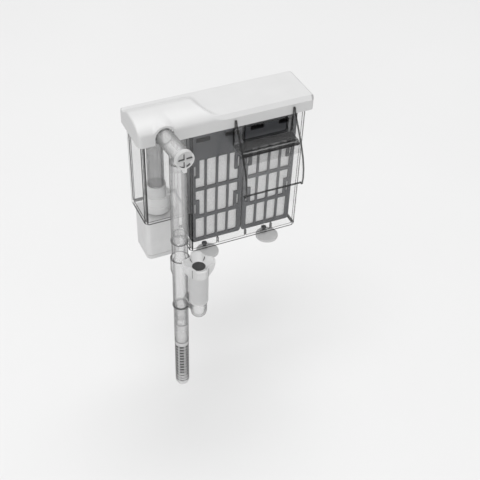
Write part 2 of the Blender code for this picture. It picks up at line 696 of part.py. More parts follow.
def build_skimmer_body():
    tube = (TUBE_X, TUBE_Y)
    well = (FLOAT_X, FLOAT_Y)
    top = TUBE_BOTTOM - GAP
    rings = [(TAIL_OUTER, TAIL_BOTTOM)]
    for groove in reversed(GROOVE_Z):
        rings += [(TAIL_OUTER, groove - 1.2), (TAIL_OUTER - 0.5, groove - 1.0),
                  (TAIL_OUTER - 0.5, groove + 1.0), (TAIL_OUTER, groove + 1.2)]
    rings += [(TAIL_OUTER, SKIMMER_BOTTOM), (9.3, SKIMMER_BOTTOM), (9.3, SKIMMER_BOTTOM + 1.8),
              (8.5, SKIMMER_BOTTOM + 2.4), (8.5, COLLAR_Z[0] - 6.0), (10.2, COLLAR_Z[0]),
              (10.2, COLLAR_Z[1]), (8.5, COLLAR_Z[1]), (8.5, top), (SPIGOT_OUTER, top),
              (SPIGOT_OUTER, top + 10.0)]
    body = spun("skimmer_body", rings, tube)
    cup = spun("cup", [(3.0, -169.9), (6.0, -168.7), (8.0, -166.1), (8.9, -162.0), (8.9, -118.0)], well)
    join(body, cup, skimmer_link(5.4))
    room = spun("room", [(TAIL_INNER, TAIL_BOTTOM - 2.0), (TAIL_INNER, SKIMMER_BOTTOM + 3.0),
                         (PIPE_INNER, SKIMMER_BOTTOM + 5.0), (PIPE_INNER, -103.0), (SPIGOT_INNER, -99.0),
                         (SPIGOT_INNER, top + 12.0)], tube)
    cup_profile = [(2.6, -168.3), (5.2, -167.1), (6.9, -164.9), (7.6, -161.5), (7.6, -114.0)]
    cup_room = spun("cup_room", cup_profile, well)
    return cut(body, room, cup_room, skimmer_link(4.1))


def lobed(radius_valley, radius_lobe, height, turn, segments=40):
    """Four-lobed ring of points around the float's axis; each hollow clears a tube beside it."""
    reach = math.hypot(TUBE_X - FLOAT_X, TUBE_Y - FLOAT_Y)
    points = []
    for index in range(segments):
        angle = 2.0 * math.pi * index / segments
        share = abs(math.cos(2.0 * (angle - turn)))
        radius = radius_valley + (radius_lobe - radius_valley) * share ** 0.55
        aside = (angle - turn) % (math.pi / 2.0) - math.pi / 4.0
        room = 11.1 ** 2 - (reach * math.sin(aside)) ** 2
        if room > 0.0:
            radius = min(radius, reach * math.cos(aside) - math.sqrt(room))
        points.append((FLOAT_X + radius * math.cos(angle), FLOAT_Y + radius * math.sin(angle), height))
    return points


def build_skimmer_float():
    """Floating funnel: four-lobed head over a sleeve that slides on the skimmer's cup."""
    turn = math.radians(79.0)
    top = FLOAT_TOP
    rings = [lobed(10.2, 10.2, FLOAT_BOTTOM, turn), lobed(10.2, 10.2, top - 17.0, turn),
             lobed(11.2, 12.6, top - 14.5, turn), lobed(11.6, 15.8, top - 9.0, turn),
             lobed(11.8, 17.2, top - 3.0, turn), lobed(11.8, 17.4, top, turn),
             lobed(10.6, 15.6, top + 0.4, turn), lobed(9.6, 12.6, top - 2.2, turn),
             lobed(8.4, 9.4, top - 4.6, turn), lobed(7.0, 7.0, top - 6.0, turn),
             lobed(7.0, 7.0, top - 7.6, turn), lobed(9.3, 9.3, top - 11.0, turn),
             lobed(9.3, 9.3, FLOAT_BOTTOM, turn)]
    return loft("skimmer_float", rings, closed=True)


def build_extension_tube():
    top = SKIMMER_BOTTOM - GAP
    return pipe("extension_tube", (TUBE_X, TUBE_Y), EXTENSION_OUTER, EXTENSION_INNER, EXTENSION_BOTTOM, top)


def build_strainer():
    """Slotted tube with a closed end and a neck that plugs into the extension tube."""
    columns = 18
    pitch = (SLOT_TOP - STRAINER_BOTTOM - 9.0) / STRAINER_ROWS
    levels = [SLOT_TOP]
    for row in range(STRAINER_ROWS):
        upper = SLOT_TOP - pitch * row
        levels += [upper - pitch * 0.58, upper - pitch]
    shape = bmesh.new()
    walls = []
    for neck, radius, shoulder in ((NECK_OUTER, STRAINER_OUTER, STRAINER_TOP),
                                   (NECK_INNER, STRAINER_INNER, STRAINER_TOP - 1.2)):
        profile = [(neck, NECK_TOP), (neck, shoulder), (radius, shoulder)]
        profile += [(radius, level) for level in levels]
        walls.append([[shape.verts.new((TUBE_X + px, TUBE_Y + py, level))
                       for px, py in circle(size, columns)]
                      for size, level in profile])
    outer, inner = walls

    def is_slot(row, column):
        return row >= 3 and row % 2 == 1 and row < len(outer) - 1 and column % 3 != 2

    for row in range(len(outer) - 1):
        for column in range(columns):
            after = (column + 1) % columns
            if is_slot(row, column):
                for a, b in ((row, "low"), (row + 1, "high")):
                    shape.faces.new((outer[a][column], outer[a][after], inner[a][after], inner[a][column]))
                if not is_slot(row, (column - 1) % columns):
                    shape.faces.new((outer[row][column], outer[row + 1][column],
                                     inner[row + 1][column], inner[row][column]))
                if not is_slot(row, after):
                    shape.faces.new((outer[row][after], outer[row + 1][after],
                                     inner[row + 1][after], inner[row][after]))
            else:
                for wall in (outer, inner):
                    shape.faces.new((wall[row][column], wall[row][after],
                                     wall[row + 1][after], wall[row + 1][column]))
    for column in range(columns):
        after = (column + 1) % columns
        shape.faces.new((outer[0][column], outer[0][after], inner[0][after], inner[0][column]))
    for wall, radius, tip in ((outer, STRAINER_OUTER, STRAINER_BOTTOM),
                              (inner, STRAINER_INNER, STRAINER_BOTTOM + 1.2)):
        previous = wall[-1]
        drop = levels[-1] - tip
        for step in (0.35, 0.65, 0.88):
            level = levels[-1] - drop * math.sin(step * math.pi / 2.0)
            ring_radius = radius * math.cos(step * math.pi / 2.0)
            ring = [shape.verts.new((TUBE_X + px, TUBE_Y + py, level))
                    for px, py in circle(ring_radius, columns)]
            for column in range(columns):
                after = (column + 1) % columns
                shape.faces.new((previous[column], previous[after], ring[after], ring[column]))
            previous = ring
        shape.faces.new(previous)
    return from_bmesh("strainer", shape)


# ---------------------------------------------------------------- cartridges

def window_outline(start, row, side, end):
    """Grid window. A clip tongue fills the corner that side and end, each -1 or 1, point to; 0 is none."""
    if side == 0 or end == 0:
        return rounded((start, start + WINDOW_W), row, 1.5, 1)
    near, far = (start, start + WINDOW_W) if side < 0 else (start + WINDOW_W, start)
    inward = near - side * TONGUE_W
    shut, clear = (row[1], row[0]) if end > 0 else (row[0], row[1])
    step = shut + (clear - shut) * 0.62
    return [(near, clear), (far, clear), (far, shut), (inward, shut), (inward, step), (near, step)]


def cartridge_windows(left, low, high):
    cutters = []
    for column, side in enumerate((-1, 0, 0, 1)):
        start = left + 5.0 + column * (WINDOW_W + BAR_W)
        for row, end in zip(ROW_Z, (1, -1, 0)):
            cutters.append(prism("window", window_outline(start, row, side, end), "y", low, high))
    for start in (left + 5.5, left + CART_WIDTH - 20.5):
        cutters.append(prism("slot", rounded((start, start + 15.0), (9.0, 14.0), 1.0, 1), "y", low, high))
    for start in (left + 3.4, left + CART_WIDTH - 5.6):
        for level in (-31.0, -78.0):
            outline = rounded((start, start + 2.2), (level, level + 13.0), 0.7, 1)
            cutters.append(prism("slot", outline, "y", low, high))
    return together("windows", cutters)


def build_cartridge_frame(name, left, face, inner_edge):
    """Tray with a grid face; face is the outer skin's y and inner_edge the open side's y."""
    span = (left, left + CART_WIDTH)
    low, high = sorted((face, inner_edge))
    outline = rounded(span, CART_Z, 3.0, 2)
    frame = prism(name, outline, "y", low, high)
    inward = CART_SKIN if inner_edge > face else -CART_SKIN
    room_y = sorted((face + inward, inner_edge + inward * 2.0))
    inside = rounded((span[0] + 1.6, span[1] - 1.6), (CART_Z[0] + 1.6, CART_Z[1] - 1.6), 1.8, 2)
    room = prism("room", inside, "y", room_y[0], room_y[1])
    cut(frame, room)
    return cut(frame, cartridge_windows(left, face - 3.0, face + 3.0))


def build_cartridge(side, file_under):
    left = CART_LEFT[side]
    middle = (CART_Y[0] + CART_Y[1]) / 2.0
    base = "cartridge_" + side
    origin = (left + CART_WIDTH / 2.0, middle, CART_Z[1])
    front = build_cartridge_frame(base + "_front_frame", left, CART_Y[0], middle - GAP / 2.0)
    file_under(front, "slate_plastic", origin)
    back = build_cartridge_frame(base + "_back_frame", left, CART_Y[1], middle + GAP / 2.0)
    file_under(back, "slate_plastic", origin)
    span = (left + 2.0, left + CART_WIDTH - 2.0)
    height = (CART_Z[0] + 2.0, CART_Z[1] - 20.0)
    layers = (("_front_pad", "filter_wool", CART_Y[0] + 2.3, CART_Y[0] + 8.0),
              ("_carbon", "carbon", CART_Y[0] + 8.3, CART_Y[1] - 8.3),
              ("_back_pad", "filter_wool", CART_Y[1] - 8.0, CART_Y[1] - 2.3))
    for ending, slot, low, high in layers:
        layer = prism(base + ending, rounded(span, height, 1.6, 2), "y", low, high)
        file_under(layer, slot, origin)


# ---------------------------------------------------------------- levelling cams

def build_leveller(side, file_under):
    x = LEVELLER_X[side]
    centre = (x, LEVELLER_PIVOT_Y - LEVELLER_OFFSET)
    low, high = LEVELLER_Z
    edge = LEVELLER_RADIUS - 0.5
    disc = spun("leveller_disc_" + side, [(edge, low), (LEVELLER_RADIUS, low + 0.5),
                                          (LEVELLER_RADIUS, high - 0.5), (edge, high)], centre)
    hole = rod("hole", (x, LEVELLER_PIVOT_Y), 1.8, low - 2.0, high + 2.0, 16)
    file_under(cut(disc, hole), "frosted_white", (x, LEVELLER_PIVOT_Y, low))
    floor = MEDIA_BOTTOM + WALL
    profile = [(3.4, low - 2.3), (3.8, low - 1.6), (3.8, low - GAP), (1.45, low - GAP),
               (1.45, floor + GAP), (2.9, floor + GAP), (2.9, floor + 1.6)]
    pivot = spun("leveller_pivot_" + side, profile, (x, LEVELLER_PIVOT_Y), 16)
    file_under(pivot, "slate_plastic", (x, LEVELLER_PIVOT_Y, low))


# ---------------------------------------------------------------- assembly

def main():
    clear_scene()
    for name, look in MATERIALS.items():
        make_material(name, **look)
    collection = bpy.data.collections.new("hang_on_filter")
    bpy.context.scene.collection.children.link(collection)

    def file_under(item, slot, origin=(0.0, 0.0, 0.0)):
        settle(item, collection, slot, origin)

    axis = (PUMP_X, PUMP_Y, PUMP_BOTTOM)
    file_under(build_housing(), "clear_plastic")
    file_under(build_outlet(), "clear_plastic")
    file_under(build_cover(), "white_plastic")
    file_under(build_motor_case(), "pump_white", axis)
    file_under(build_motor_base(), "pump_white", axis)
    file_under(build_cable_gland(), "rubber", axis)
    file_under(build_stator_core(), "steel", axis)
    file_under(build_coil(), "copper", axis)
    file_under(build_rotor_well(), "pump_white", axis)
    file_under(build_o_ring(), "rubber", axis)
    file_under(build_volute_cup(), "frosted_white", axis)
    file_under(build_riser_socket(), "frosted_white", axis)
    file_under(build_riser_tube(), "clear_plastic", axis)
    file_under(build_impeller(), "white_plastic", axis)
    file_under(build_rotor_magnet(), "magnet", axis)
    file_under(build_shaft(), "ceramic", axis)
    file_under(build_lower_bush(), "rubber", axis)
    file_under(build_upper_bush(), "rubber", axis)
    knob_axis = (*along_elbow(PUMP_Y - ELBOW_FRONT), ELBOW_Z)
    file_under(build_elbow(), "clear_plastic", knob_axis)
    file_under(build_flow_knob(), "frosted_white", knob_axis)
    file_under(build_flow_shutter(), "frosted_white", knob_axis)
    file_under(build_inlet_tube(), "clear_plastic", (TUBE_X, TUBE_Y, TUBE_BOTTOM))
    file_under(build_skimmer_body(), "clear_plastic", (TUBE_X, TUBE_Y, SKIMMER_BOTTOM))
    file_under(build_skimmer_float(), "frosted_white", (FLOAT_X, FLOAT_Y, FLOAT_BOTTOM))
    file_under(build_extension_tube(), "clear_plastic", (TUBE_X, TUBE_Y, SKIMMER_BOTTOM))
    file_under(build_strainer(), "clear_plastic", (TUBE_X, TUBE_Y, STRAINER_TOP))
    for side in ("left", "right"):
        build_cartridge(side, file_under)
        build_leveller(side, file_under)


main()
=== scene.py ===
"""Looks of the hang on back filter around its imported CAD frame.

Lengths are in millimetres in the row frame, and become metres where vertices are made. The driving
sizes and places are read from the CAD nodes' boxes; the rest are set from them or named below.
"""
import json
import math

import bmesh
import bpy
from mathutils import Matrix, Vector


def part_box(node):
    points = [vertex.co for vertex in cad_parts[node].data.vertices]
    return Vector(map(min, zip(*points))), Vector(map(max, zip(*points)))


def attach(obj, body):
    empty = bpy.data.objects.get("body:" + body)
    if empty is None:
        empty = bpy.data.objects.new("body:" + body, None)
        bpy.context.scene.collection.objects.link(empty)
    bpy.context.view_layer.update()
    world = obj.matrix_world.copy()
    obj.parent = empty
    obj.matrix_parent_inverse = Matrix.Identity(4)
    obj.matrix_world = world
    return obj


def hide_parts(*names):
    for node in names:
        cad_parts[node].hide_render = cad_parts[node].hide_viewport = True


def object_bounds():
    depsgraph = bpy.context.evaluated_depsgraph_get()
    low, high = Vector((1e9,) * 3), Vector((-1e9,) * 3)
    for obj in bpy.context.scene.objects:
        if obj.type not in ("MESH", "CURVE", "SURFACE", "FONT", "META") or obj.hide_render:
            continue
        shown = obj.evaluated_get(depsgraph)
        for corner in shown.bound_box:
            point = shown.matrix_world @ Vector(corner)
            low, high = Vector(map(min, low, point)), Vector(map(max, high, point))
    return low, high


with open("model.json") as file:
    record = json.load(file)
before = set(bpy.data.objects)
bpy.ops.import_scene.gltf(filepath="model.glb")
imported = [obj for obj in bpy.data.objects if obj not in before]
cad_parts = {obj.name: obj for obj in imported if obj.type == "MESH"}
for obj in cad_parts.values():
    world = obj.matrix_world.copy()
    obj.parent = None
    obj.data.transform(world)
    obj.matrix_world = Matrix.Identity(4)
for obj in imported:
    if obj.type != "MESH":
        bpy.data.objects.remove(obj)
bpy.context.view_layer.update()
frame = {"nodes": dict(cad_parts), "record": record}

MM = 0.001
GAP = 0.3
FINE = 72
ROUND = 40
COARSE = 16
SIDES = ("left", "right")
BODY_OF = {node: body for body, nodes in frame["record"]["behaviour"]["bodies"].items() for node in nodes}
SLOT_OF = {part["node"]: part["material_slot"] for part in frame["record"]["subparts"]}


def reach(node, axis):
    """Lowest and highest coordinate of a CAD node along x, y or z, to a tenth of a millimetre."""
    return tuple(round(corner["xyz".index(axis)] / MM, 1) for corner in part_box(node))


def middle(node, axis):
    return round(sum(reach(node, axis)) / 2.0, 1)


def half(node, axis):
    low, high = reach(node, axis)
    return round((high - low) / 2.0, 1)


# cover
COVER_X = reach("cover", "x")
COVER_Y = reach("cover", "y")
COVER_BOTTOM = reach("cover", "z")[0]
SHOULDER_Z = 32.0
FLAT_Z = 36.0
CROWN_Z = 43.3
CROWN_Y = 36.0
BACK_DROP = 1.6
COVER_WALL = 1.8
COVER_CORNER = 4.0
END_ROUND = 2.2
SCOOP_RUN = 11.0
SCOOP_X = -57.5
SCOOP_SWEEP = 14.0
SCOOP_BACK_Y = 46.0
ARCH_RADIUS = 12.0
ARCH_HALF = 19.0
ARCH_BLEND = 5.0
ARCH_HOLE = 9.8

# housing
HOUSING_X = reach("housing", "x")
HOUSING_Y = reach("housing", "y")
MEDIA_BOTTOM, HOUSING_TOP = reach("housing", "z")
DIVIDER_X = (-79.5, -77.5)
DIVIDER_TOP = 22.0
WALL = 2.0
HOUSING_CORNER = 5.0
FOOT_ROUND = 2.5
ELBOW_NOTCH = 9.3
RIB_X = (-46.0, -13.0, 18.0)
RIB_HALF = 0.8
RIB_TOP = -115.3
RIB_END = HOUSING_Y[0] + WALL + 3.0

# weir window and waterfall outlet
WINDOW_X = (-22.5, 26.0)
WINDOW_Z = (2.0, 19.5)
SPOUT_X = reach("waterfall_outlet", "x")
SPOUT_WALL = 2.0

# pump, on one upright axis
PUMP_X = middle("motor_case", "x")
PUMP_Y = middle("motor_case", "y")
MOTOR_HALF = half("motor_case", "x")
MOTOR_BOTTOM, MOTOR_TOP = reach("motor_case", "z")
MOTOR_CORNER = 5.5
PUMP_BOTTOM = MOTOR_TOP + GAP
BASE_BOTTOM = reach("motor_base", "z")[0]
WELL_OUTER = 7.8
LEAD_Z = middle("cable_gland", "z")

# pipes
PIPE_OUTER = half("riser_tube", "x")
PIPE_INNER = 7.3
SPIGOT_OUTER = 7.0
SPIGOT_INNER = 5.8
RISER_BOTTOM, RISER_TOP = reach("riser_tube", "z")
ELBOW_Z = 28.0
ELBOW_BEND = 10.0
ELBOW_FRONT = -30.5
ELBOW_FOOT = RISER_TOP + GAP
ELBOW_TURN = math.radians(5.0)
ELBOW_REACH = 52.7
ARCH_X = PUMP_X + 25.0 * math.tan(ELBOW_TURN)
TUBE_X = PUMP_X + ELBOW_REACH * math.sin(ELBOW_TURN)
TUBE_Y = PUMP_Y - ELBOW_REACH * math.cos(ELBOW_TURN)
TUBE_BOTTOM = reach("inlet_tube", "z")[0]
KNOB_RADIUS = 9.3
KNOB_DEPTH = 5.0
POCKET_RADIUS = 7.6

# skimmer, extension and strainer
COLLAR_Z = (-116.0, -100.0)
COLLAR_RADIUS = 10.2
SKIMMER_OUTER = 8.5
FLANGE_RADIUS = 9.3
EXTENSION_BOTTOM, EXTENSION_TOP = reach("extension_tube", "z")
SKIMMER_BOTTOM = EXTENSION_TOP + GAP
FLOAT_X = TUBE_X + 13.0
FLOAT_Y = TUBE_Y - 19.2
FLOAT_LIP = 0.4
FLOAT_BOTTOM = reach("skimmer_float", "z")[0]
FLOAT_TOP = reach("skimmer_float", "z")[1] - FLOAT_LIP
FLOAT_TURN = math.radians(79.0)
SLEEVE_OUTER = 10.2
SLEEVE_INNER = 9.3
THROAT = 7.0
TAIL_BOTTOM = reach("skimmer_body", "z")[0]
TAIL_OUTER = 6.7
TAIL_INNER = 5.5
GROOVE_Z = (-184.4, -193.4)
GROOVE_DEPTH = 0.5
EXTENSION_OUTER = half("extension_tube", "x")
EXTENSION_INNER = 7.0
NECK_TOP = reach("strainer", "z")[1]
NECK_OUTER = 6.7
NECK_INNER = 5.7
STRAINER_TOP = EXTENSION_BOTTOM - GAP
SLOT_TOP = -227.5
STRAINER_BOTTOM = -297.5
STRAINER_OUTER = 8.2
STRAINER_INNER = 7.2
STRAINER_SIDES = 64
SLOT_ROWS = 13

# cartridges
CART_LEFT = {side: reach("cartridge_" + side + "_front_frame", "x")[0] for side in SIDES}
CART_WIDTH = 2.0 * half("cartridge_left_front_frame", "x")
CART_Y = (reach("cartridge_left_front_frame", "y")[0], reach("cartridge_left_back_frame", "y")[1])
CART_Z = reach("cartridge_left_front_frame", "z")
CART_SKIN = 2.0
CART_SIDE = 1.6
WINDOW_W = 10.2
BAR_W = 2.2
TONGUE_W = 4.2
ROW_Z = ((-45.5, -12.0), (-80.5, -49.0), (-110.8, -84.0))
GRIP_Z = (9.0, 14.0)
GRIP_W = 15.0
CLIP_Z = (-31.0, -78.0)
PAD_COLUMNS = 44
PAD_ROWS = 84

# levelling cams
LEVELLER_X = {side: middle("leveller_pivot_" + side, "x") for side in SIDES}
LEVELLER_PIVOT_Y = middle("leveller_pivot_left", "y")
LEVELLER_RADIUS = half("leveller_disc_left", "x")
LEVELLER_Y = middle("leveller_disc_left", "y")
LEVELLER_Z = reach("leveller_disc_left", "z")
LEVELLER_HOLE = 1.8

# camera
CAMERA_PLACE = (-337.9, -639.6, 476.4)
CAMERA_TURN = (43.14, 0.2, -22.25)
CAMERA_LENS = 63.5
CAMERA_SHIFT = (0.095, 0.217)


# ---------------------------------------------------------------- solids

def as_object(name, mesh_data):
    item = bpy.data.objects.new(name, mesh_data)
    bpy.context.scene.collection.objects.link(item)
    return item


def from_bmesh(name, shape):
    """Scale a bmesh from millimetres to metres and turn it into an object."""
    bmesh.ops.recalc_face_normals(shape, faces=shape.faces)
    bmesh.ops.scale(shape, vec=(MM, MM, MM), verts=shape.verts)
    mesh_data = bpy.data.meshes.new(name)
    shape.to_mesh(mesh_data)
    shape.free()
    return as_object(name, mesh_data)


def bridge(shape, first, second, closed=True):
    """Quads between two rows of vertices, round and back to the start if closed."""
    for index in range(len(first) if closed else len(first) - 1):
        after = (index + 1) % len(first)
        shape.faces.new((first[index], first[after], second[after], second[index]))


def fill_grid(shape, grid):
    for column, after in zip(grid, grid[1:]):
        for j in range(len(column) - 1):
            shape.faces.new((column[j], after[j], after[j + 1], column[j + 1]))


def rim_of(grid):
    """Outer vertices of a grid, once around."""
    last_i = len(grid) - 1
    last_j = len(grid[0]) - 1
    loop = [(i, 0) for i in range(last_i)] + [(last_i, j) for j in range(last_j)]
    loop += [(i, last_j) for i in range(last_i, 0, -1)] + [(0, j) for j in range(last_j, 0, -1)]
    return [grid[i][j] for i, j in loop]


def loft(name, rings, closed=False):
    """Skin equal rings of points; the ends are capped unless the loft closes on itself."""
    shape = bmesh.new()
    made = [[shape.verts.new(point) for point in ring] for ring in rings]
    for lower, upper in zip(made, made[1:]):
        bridge(shape, lower, upper)
    if closed:
        bridge(shape, made[-1], made[0])
    else:
        shape.faces.new(made[0][::-1])
        shape.faces.new(made[-1])
    return from_bmesh(name, shape)


def prism(name, outline, axis, low, high):
    """Extrude a flat outline along x, y or z."""
    def place(point, level):
        a, b = point
        return {"x": (level, a, b), "y": (a, level, b), "z": (a, b, level)}[axis]

    return loft(name, [[place(point, level) for point in outline] for level in (low, high)])


def box(name, x, y, z):
    return prism(name, [(x[0], y[0]), (x[1], y[0]), (x[1], y[1]), (x[0], y[1])], "z", z[0], z[1])


def rounded(a, b, radius, steps=10):
    """Outline of a rectangle with rounded corners."""
    corners = ((a[1], b[1], 0), (a[0], b[1], 90), (a[0], b[0], 180), (a[1], b[0], 270))
    points = []
    for corner_a, corner_b, start in corners:
        centre_a = corner_a - radius if corner_a == a[1] else corner_a + radius
        centre_b = corner_b - radius if corner_b == b[1] else corner_b + radius
        for step in range(steps + 1):
            angle = math.radians(start + 90.0 * step / steps)
            points.append((centre_a + radius * math.cos(angle), centre_b + radius * math.sin(angle)))
    return points


def rounded_box(name, x, y, z, radius, foot=0.0):
    """Upright box with rounded vertical edges and, when foot is given, a softened bottom edge."""
    levels = [(z[0], 0.0)]
    if foot:
        levels = [(z[0], foot), (z[0] + foot * 0.3, foot * 0.3), (z[0] + foot, 0.0)]
    levels.append((z[1], 0.0))
    rings = []
    for level, inset in levels:
        outline = rounded((x[0] + inset, x[1] - inset), (y[0] + inset, y[1] - inset),
                          radius - inset * 0.5)
        rings.append([(px, py, level) for px, py in outline])
    return loft(name, rings)


def circle(radius, segments):
    turn = 2.0 * math.pi / segments
    return [(radius * math.cos(turn * i), radius * math.sin(turn * i)) for i in range(segments)]


def turned(name, profile, centre, segments=FINE, closed=True):
    """Turn (radius, height) points about an upright axis: closed for a ring, else a solid stack."""
    rings = [[(centre[0] + px, centre[1] + py, height) for px, py in circle(radius, segments)]
             for radius, height in profile]
    return loft(name, rings, closed)


def pipe(name, centre, outer, inner, low, high):
    return turned(name, [(outer, high), (outer, low), (inner, low), (inner, high)], centre)


def rod(name, centre, radius, low, high, segments=FINE):
    return turned(name, [(radius, low), (radius, high)], centre, segments, closed=False)


def rod_along_y(name, x, z, radius, low, high, segments=FINE):
    rings = [[(x + px, level, z + pz) for px, pz in circle(radius, segments)] for level in (low, high)]
    return loft(name, rings)


def swept(name, path, radius, segments=FINE):
    """Round bar along a path of points."""
    points = [Vector(point) for point in path]
    rings = []
    for index, point in enumerate(points):
        before = points[max(index - 1, 0)]
        after = points[min(index + 1, len(points) - 1)]
        along = (after - before).normalized()
        side = Vector((1.0, 0.0, 0.0))
        side = (side - along * side.dot(along)).normalized()
        up = along.cross(side)
        rings.append([tuple(point + side * a + up * b) for a, b in circle(radius, segments)])
    return loft(name, rings)


def combine(target, others, operation):
    """Apply one exact boolean for each of the other solids, then drop them."""
    for other in others:
        step = target.modifiers.new("step", "BOOLEAN")
        step.object = other
        step.operation = operation
        step.solver = "EXACT"
        graph = bpy.context.evaluated_depsgraph_get()
        result = bpy.data.meshes.new_from_object(target.evaluated_get(graph))
        target.modifiers.clear()
        target.data = result
        bpy.data.objects.remove(other, do_unlink=True)
    return target


def cut(target, *others):
    return combine(target, others, "DIFFERENCE")


def join(target, *others):
    return combine(target, others, "UNION")


def together(name, solids):
    """Put separate solids that do not touch into one cutter."""
    shape = bmesh.new()
    for solid in solids:
        shape.from_mesh(solid.data)
        bpy.data.objects.remove(solid, do_unlink=True)
    mesh_data = bpy.data.meshes.new(name)
    shape.to_mesh(mesh_data)
    shape.free()
    return as_object(name, mesh_data)


# ---------------------------------------------------------------- cover

def smooth_step(value):
    value = min(max(value, 0.0), 1.0)
    return value * value * (3.0 - 2.0 * value)


def scoop_edge(y):
    """X of the curved line where the raised crown ends on the flat top."""
    forward = max(0.0, (SCOOP_BACK_Y - y) / (SCOOP_BACK_Y - COVER_Y[0]))
    return SCOOP_X + SCOOP_SWEEP * forward ** 2.2


def flat_profile(y):
    front = min(1.0, (y - COVER_Y[0]) / 3.5)
    back = min(1.0, (COVER_Y[1] - y) / 2.0)
    return FLAT_Z - (FLAT_Z - SHOULDER_Z) * (1.0 - front) - BACK_DROP * (1.0 - back) ** 2


def crown_profile(y):
    if y < CROWN_Y:
        share = (CROWN_Y - y) / (CROWN_Y - COVER_Y[0])
        return SHOULDER_Z + (CROWN_Z - SHOULDER_Z) * math.sqrt(max(0.0, 1.0 - share ** 2.1))
    share = (y - CROWN_Y) / (COVER_Y[1] - CROWN_Y)
    low = FLAT_Z - BACK_DROP
    return low + (CROWN_Z - low) * (1.0 - smooth_step(share))


def cover_height(x, y):
    """Outer height of the cover: flat top, barrel crown at the left, arch over the elbow."""
    flat = flat_profile(y)
    ramp = min(max((scoop_edge(y) - x) / SCOOP_RUN, 0.0), 1.0)
    height = flat + (max(crown_profile(y), flat) - flat) * smooth_step(ramp) ** 0.9
    across = abs(x - ARCH_X)
    if across < ARCH_HALF and y < CROWN_Y:
        arch = ELBOW_Z + math.sqrt(max(0.0, ARCH_RADIUS ** 2 - across ** 2))
        share = min(max(0.5 + (arch - height) / (2.0 * ARCH_BLEND), 0.0), 1.0)
        height = height * (1.0 - share) + arch * share + ARCH_BLEND * share * (1.0 - share)
    for distance in (x - COVER_X[0], COVER_X[1] - x):
        if distance < END_ROUND:
            height -= END_ROUND - math.sqrt(max(0.0, END_ROUND ** 2 - (END_ROUND - distance) ** 2))
    return height


def inner_height(x, y):
    """Inner ceiling: a wall thickness below the lowest outer height nearby."""
    near = []
    for dx in (-1.5, 0.0, 1.5):
        for dy in (-1.5, 0.0, 1.5):
            px = min(max(x + dx, COVER_X[0] + 1.5), COVER_X[1] - 1.5)
            py = min(max(y + dy, COVER_Y[0] + 0.3), COVER_Y[1] - 0.3)
            near.append(cover_height(px, py))
    return min(near) - 1.7


def round_corner(x, y, low, high, radius):
    """Pull the corner squares of a rectangle onto quarter discs."""
    shift = []
    for value, start, stop in ((x, low[0], high[0]), (y, low[1], high[1])):
        if value < start + radius:
            shift.append((-1.0, (start + radius - value) / radius, start + radius))
        elif value > stop - radius:
            shift.append((1.0, (value - stop + radius) / radius, stop - radius))
        else:
            return x, y
    (sign_x, u, base_x), (sign_y, v, base_y) = shift
    return (base_x + sign_x * radius * u * math.sqrt(1.0 - v * v / 2.0),
            base_y + sign_y * radius * v * math.sqrt(1.0 - u * u / 2.0))


def spread(marks, steps):
    """Even steps between each pair of marks."""
    values = []
    for start, stop, count in zip(marks, marks[1:], steps):
        values += [start + (stop - start) * i / count for i in range(count)]
    return values + [marks[-1]]


def build_cover():
    left, right = COVER_X
    near, far = COVER_Y
    columns = spread([left, left + COVER_CORNER, -117.5, -90.5, -73.0, -40.0, right - COVER_CORNER, right],
                     [8, 8, 36, 16, 40, 12, 8])
    rows = spread([near, near + COVER_CORNER, 30.0, far - COVER_CORNER, far], [8, 20, 24, 8])
    shape = bmesh.new()

    def sheet(inset, height_of, radius):
        """Top and upright sides of one skin, moved in by the inset. Gives the vertices of its foot."""
        span_x = right - left
        span_y = far - near
        grid = []
        for gx in columns:
            column = []
            for gy in rows:
                x = left + inset + (gx - left) * (span_x - 2.0 * inset) / span_x
                y = near + inset + (gy - near) * (span_y - 2.0 * inset) / span_y
                px, py = round_corner(x, y, (left + inset, near + inset),
                                      (right - inset, far - inset), radius)
                column.append(shape.verts.new((px, py, height_of(x, y))))
            grid.append(column)
        rim = rim_of(grid)
        foot = [shape.verts.new((v.co.x, v.co.y, COVER_BOTTOM)) for v in rim]
        fill_grid(shape, grid)
        bridge(shape, rim, foot)
        return foot

    outer_foot = sheet(0.0, cover_height, COVER_CORNER)
    inner_foot = sheet(COVER_WALL, inner_height, COVER_CORNER - 1.4)
    bridge(shape, outer_foot, inner_foot)
    cover = from_bmesh("cover", shape)
    depth = (4.0, 12.0)
    arch = rod_along_y("arch", ARCH_X, ELBOW_Z, ARCH_HOLE, depth[0], depth[1])
    below = box("below", (ARCH_X - ARCH_HOLE, ARCH_X + ARCH_HOLE), depth, (10.0, ELBOW_Z - 0.01))
    return cut(cover, arch, below)


# ---------------------------------------------------------------- housing and outlet

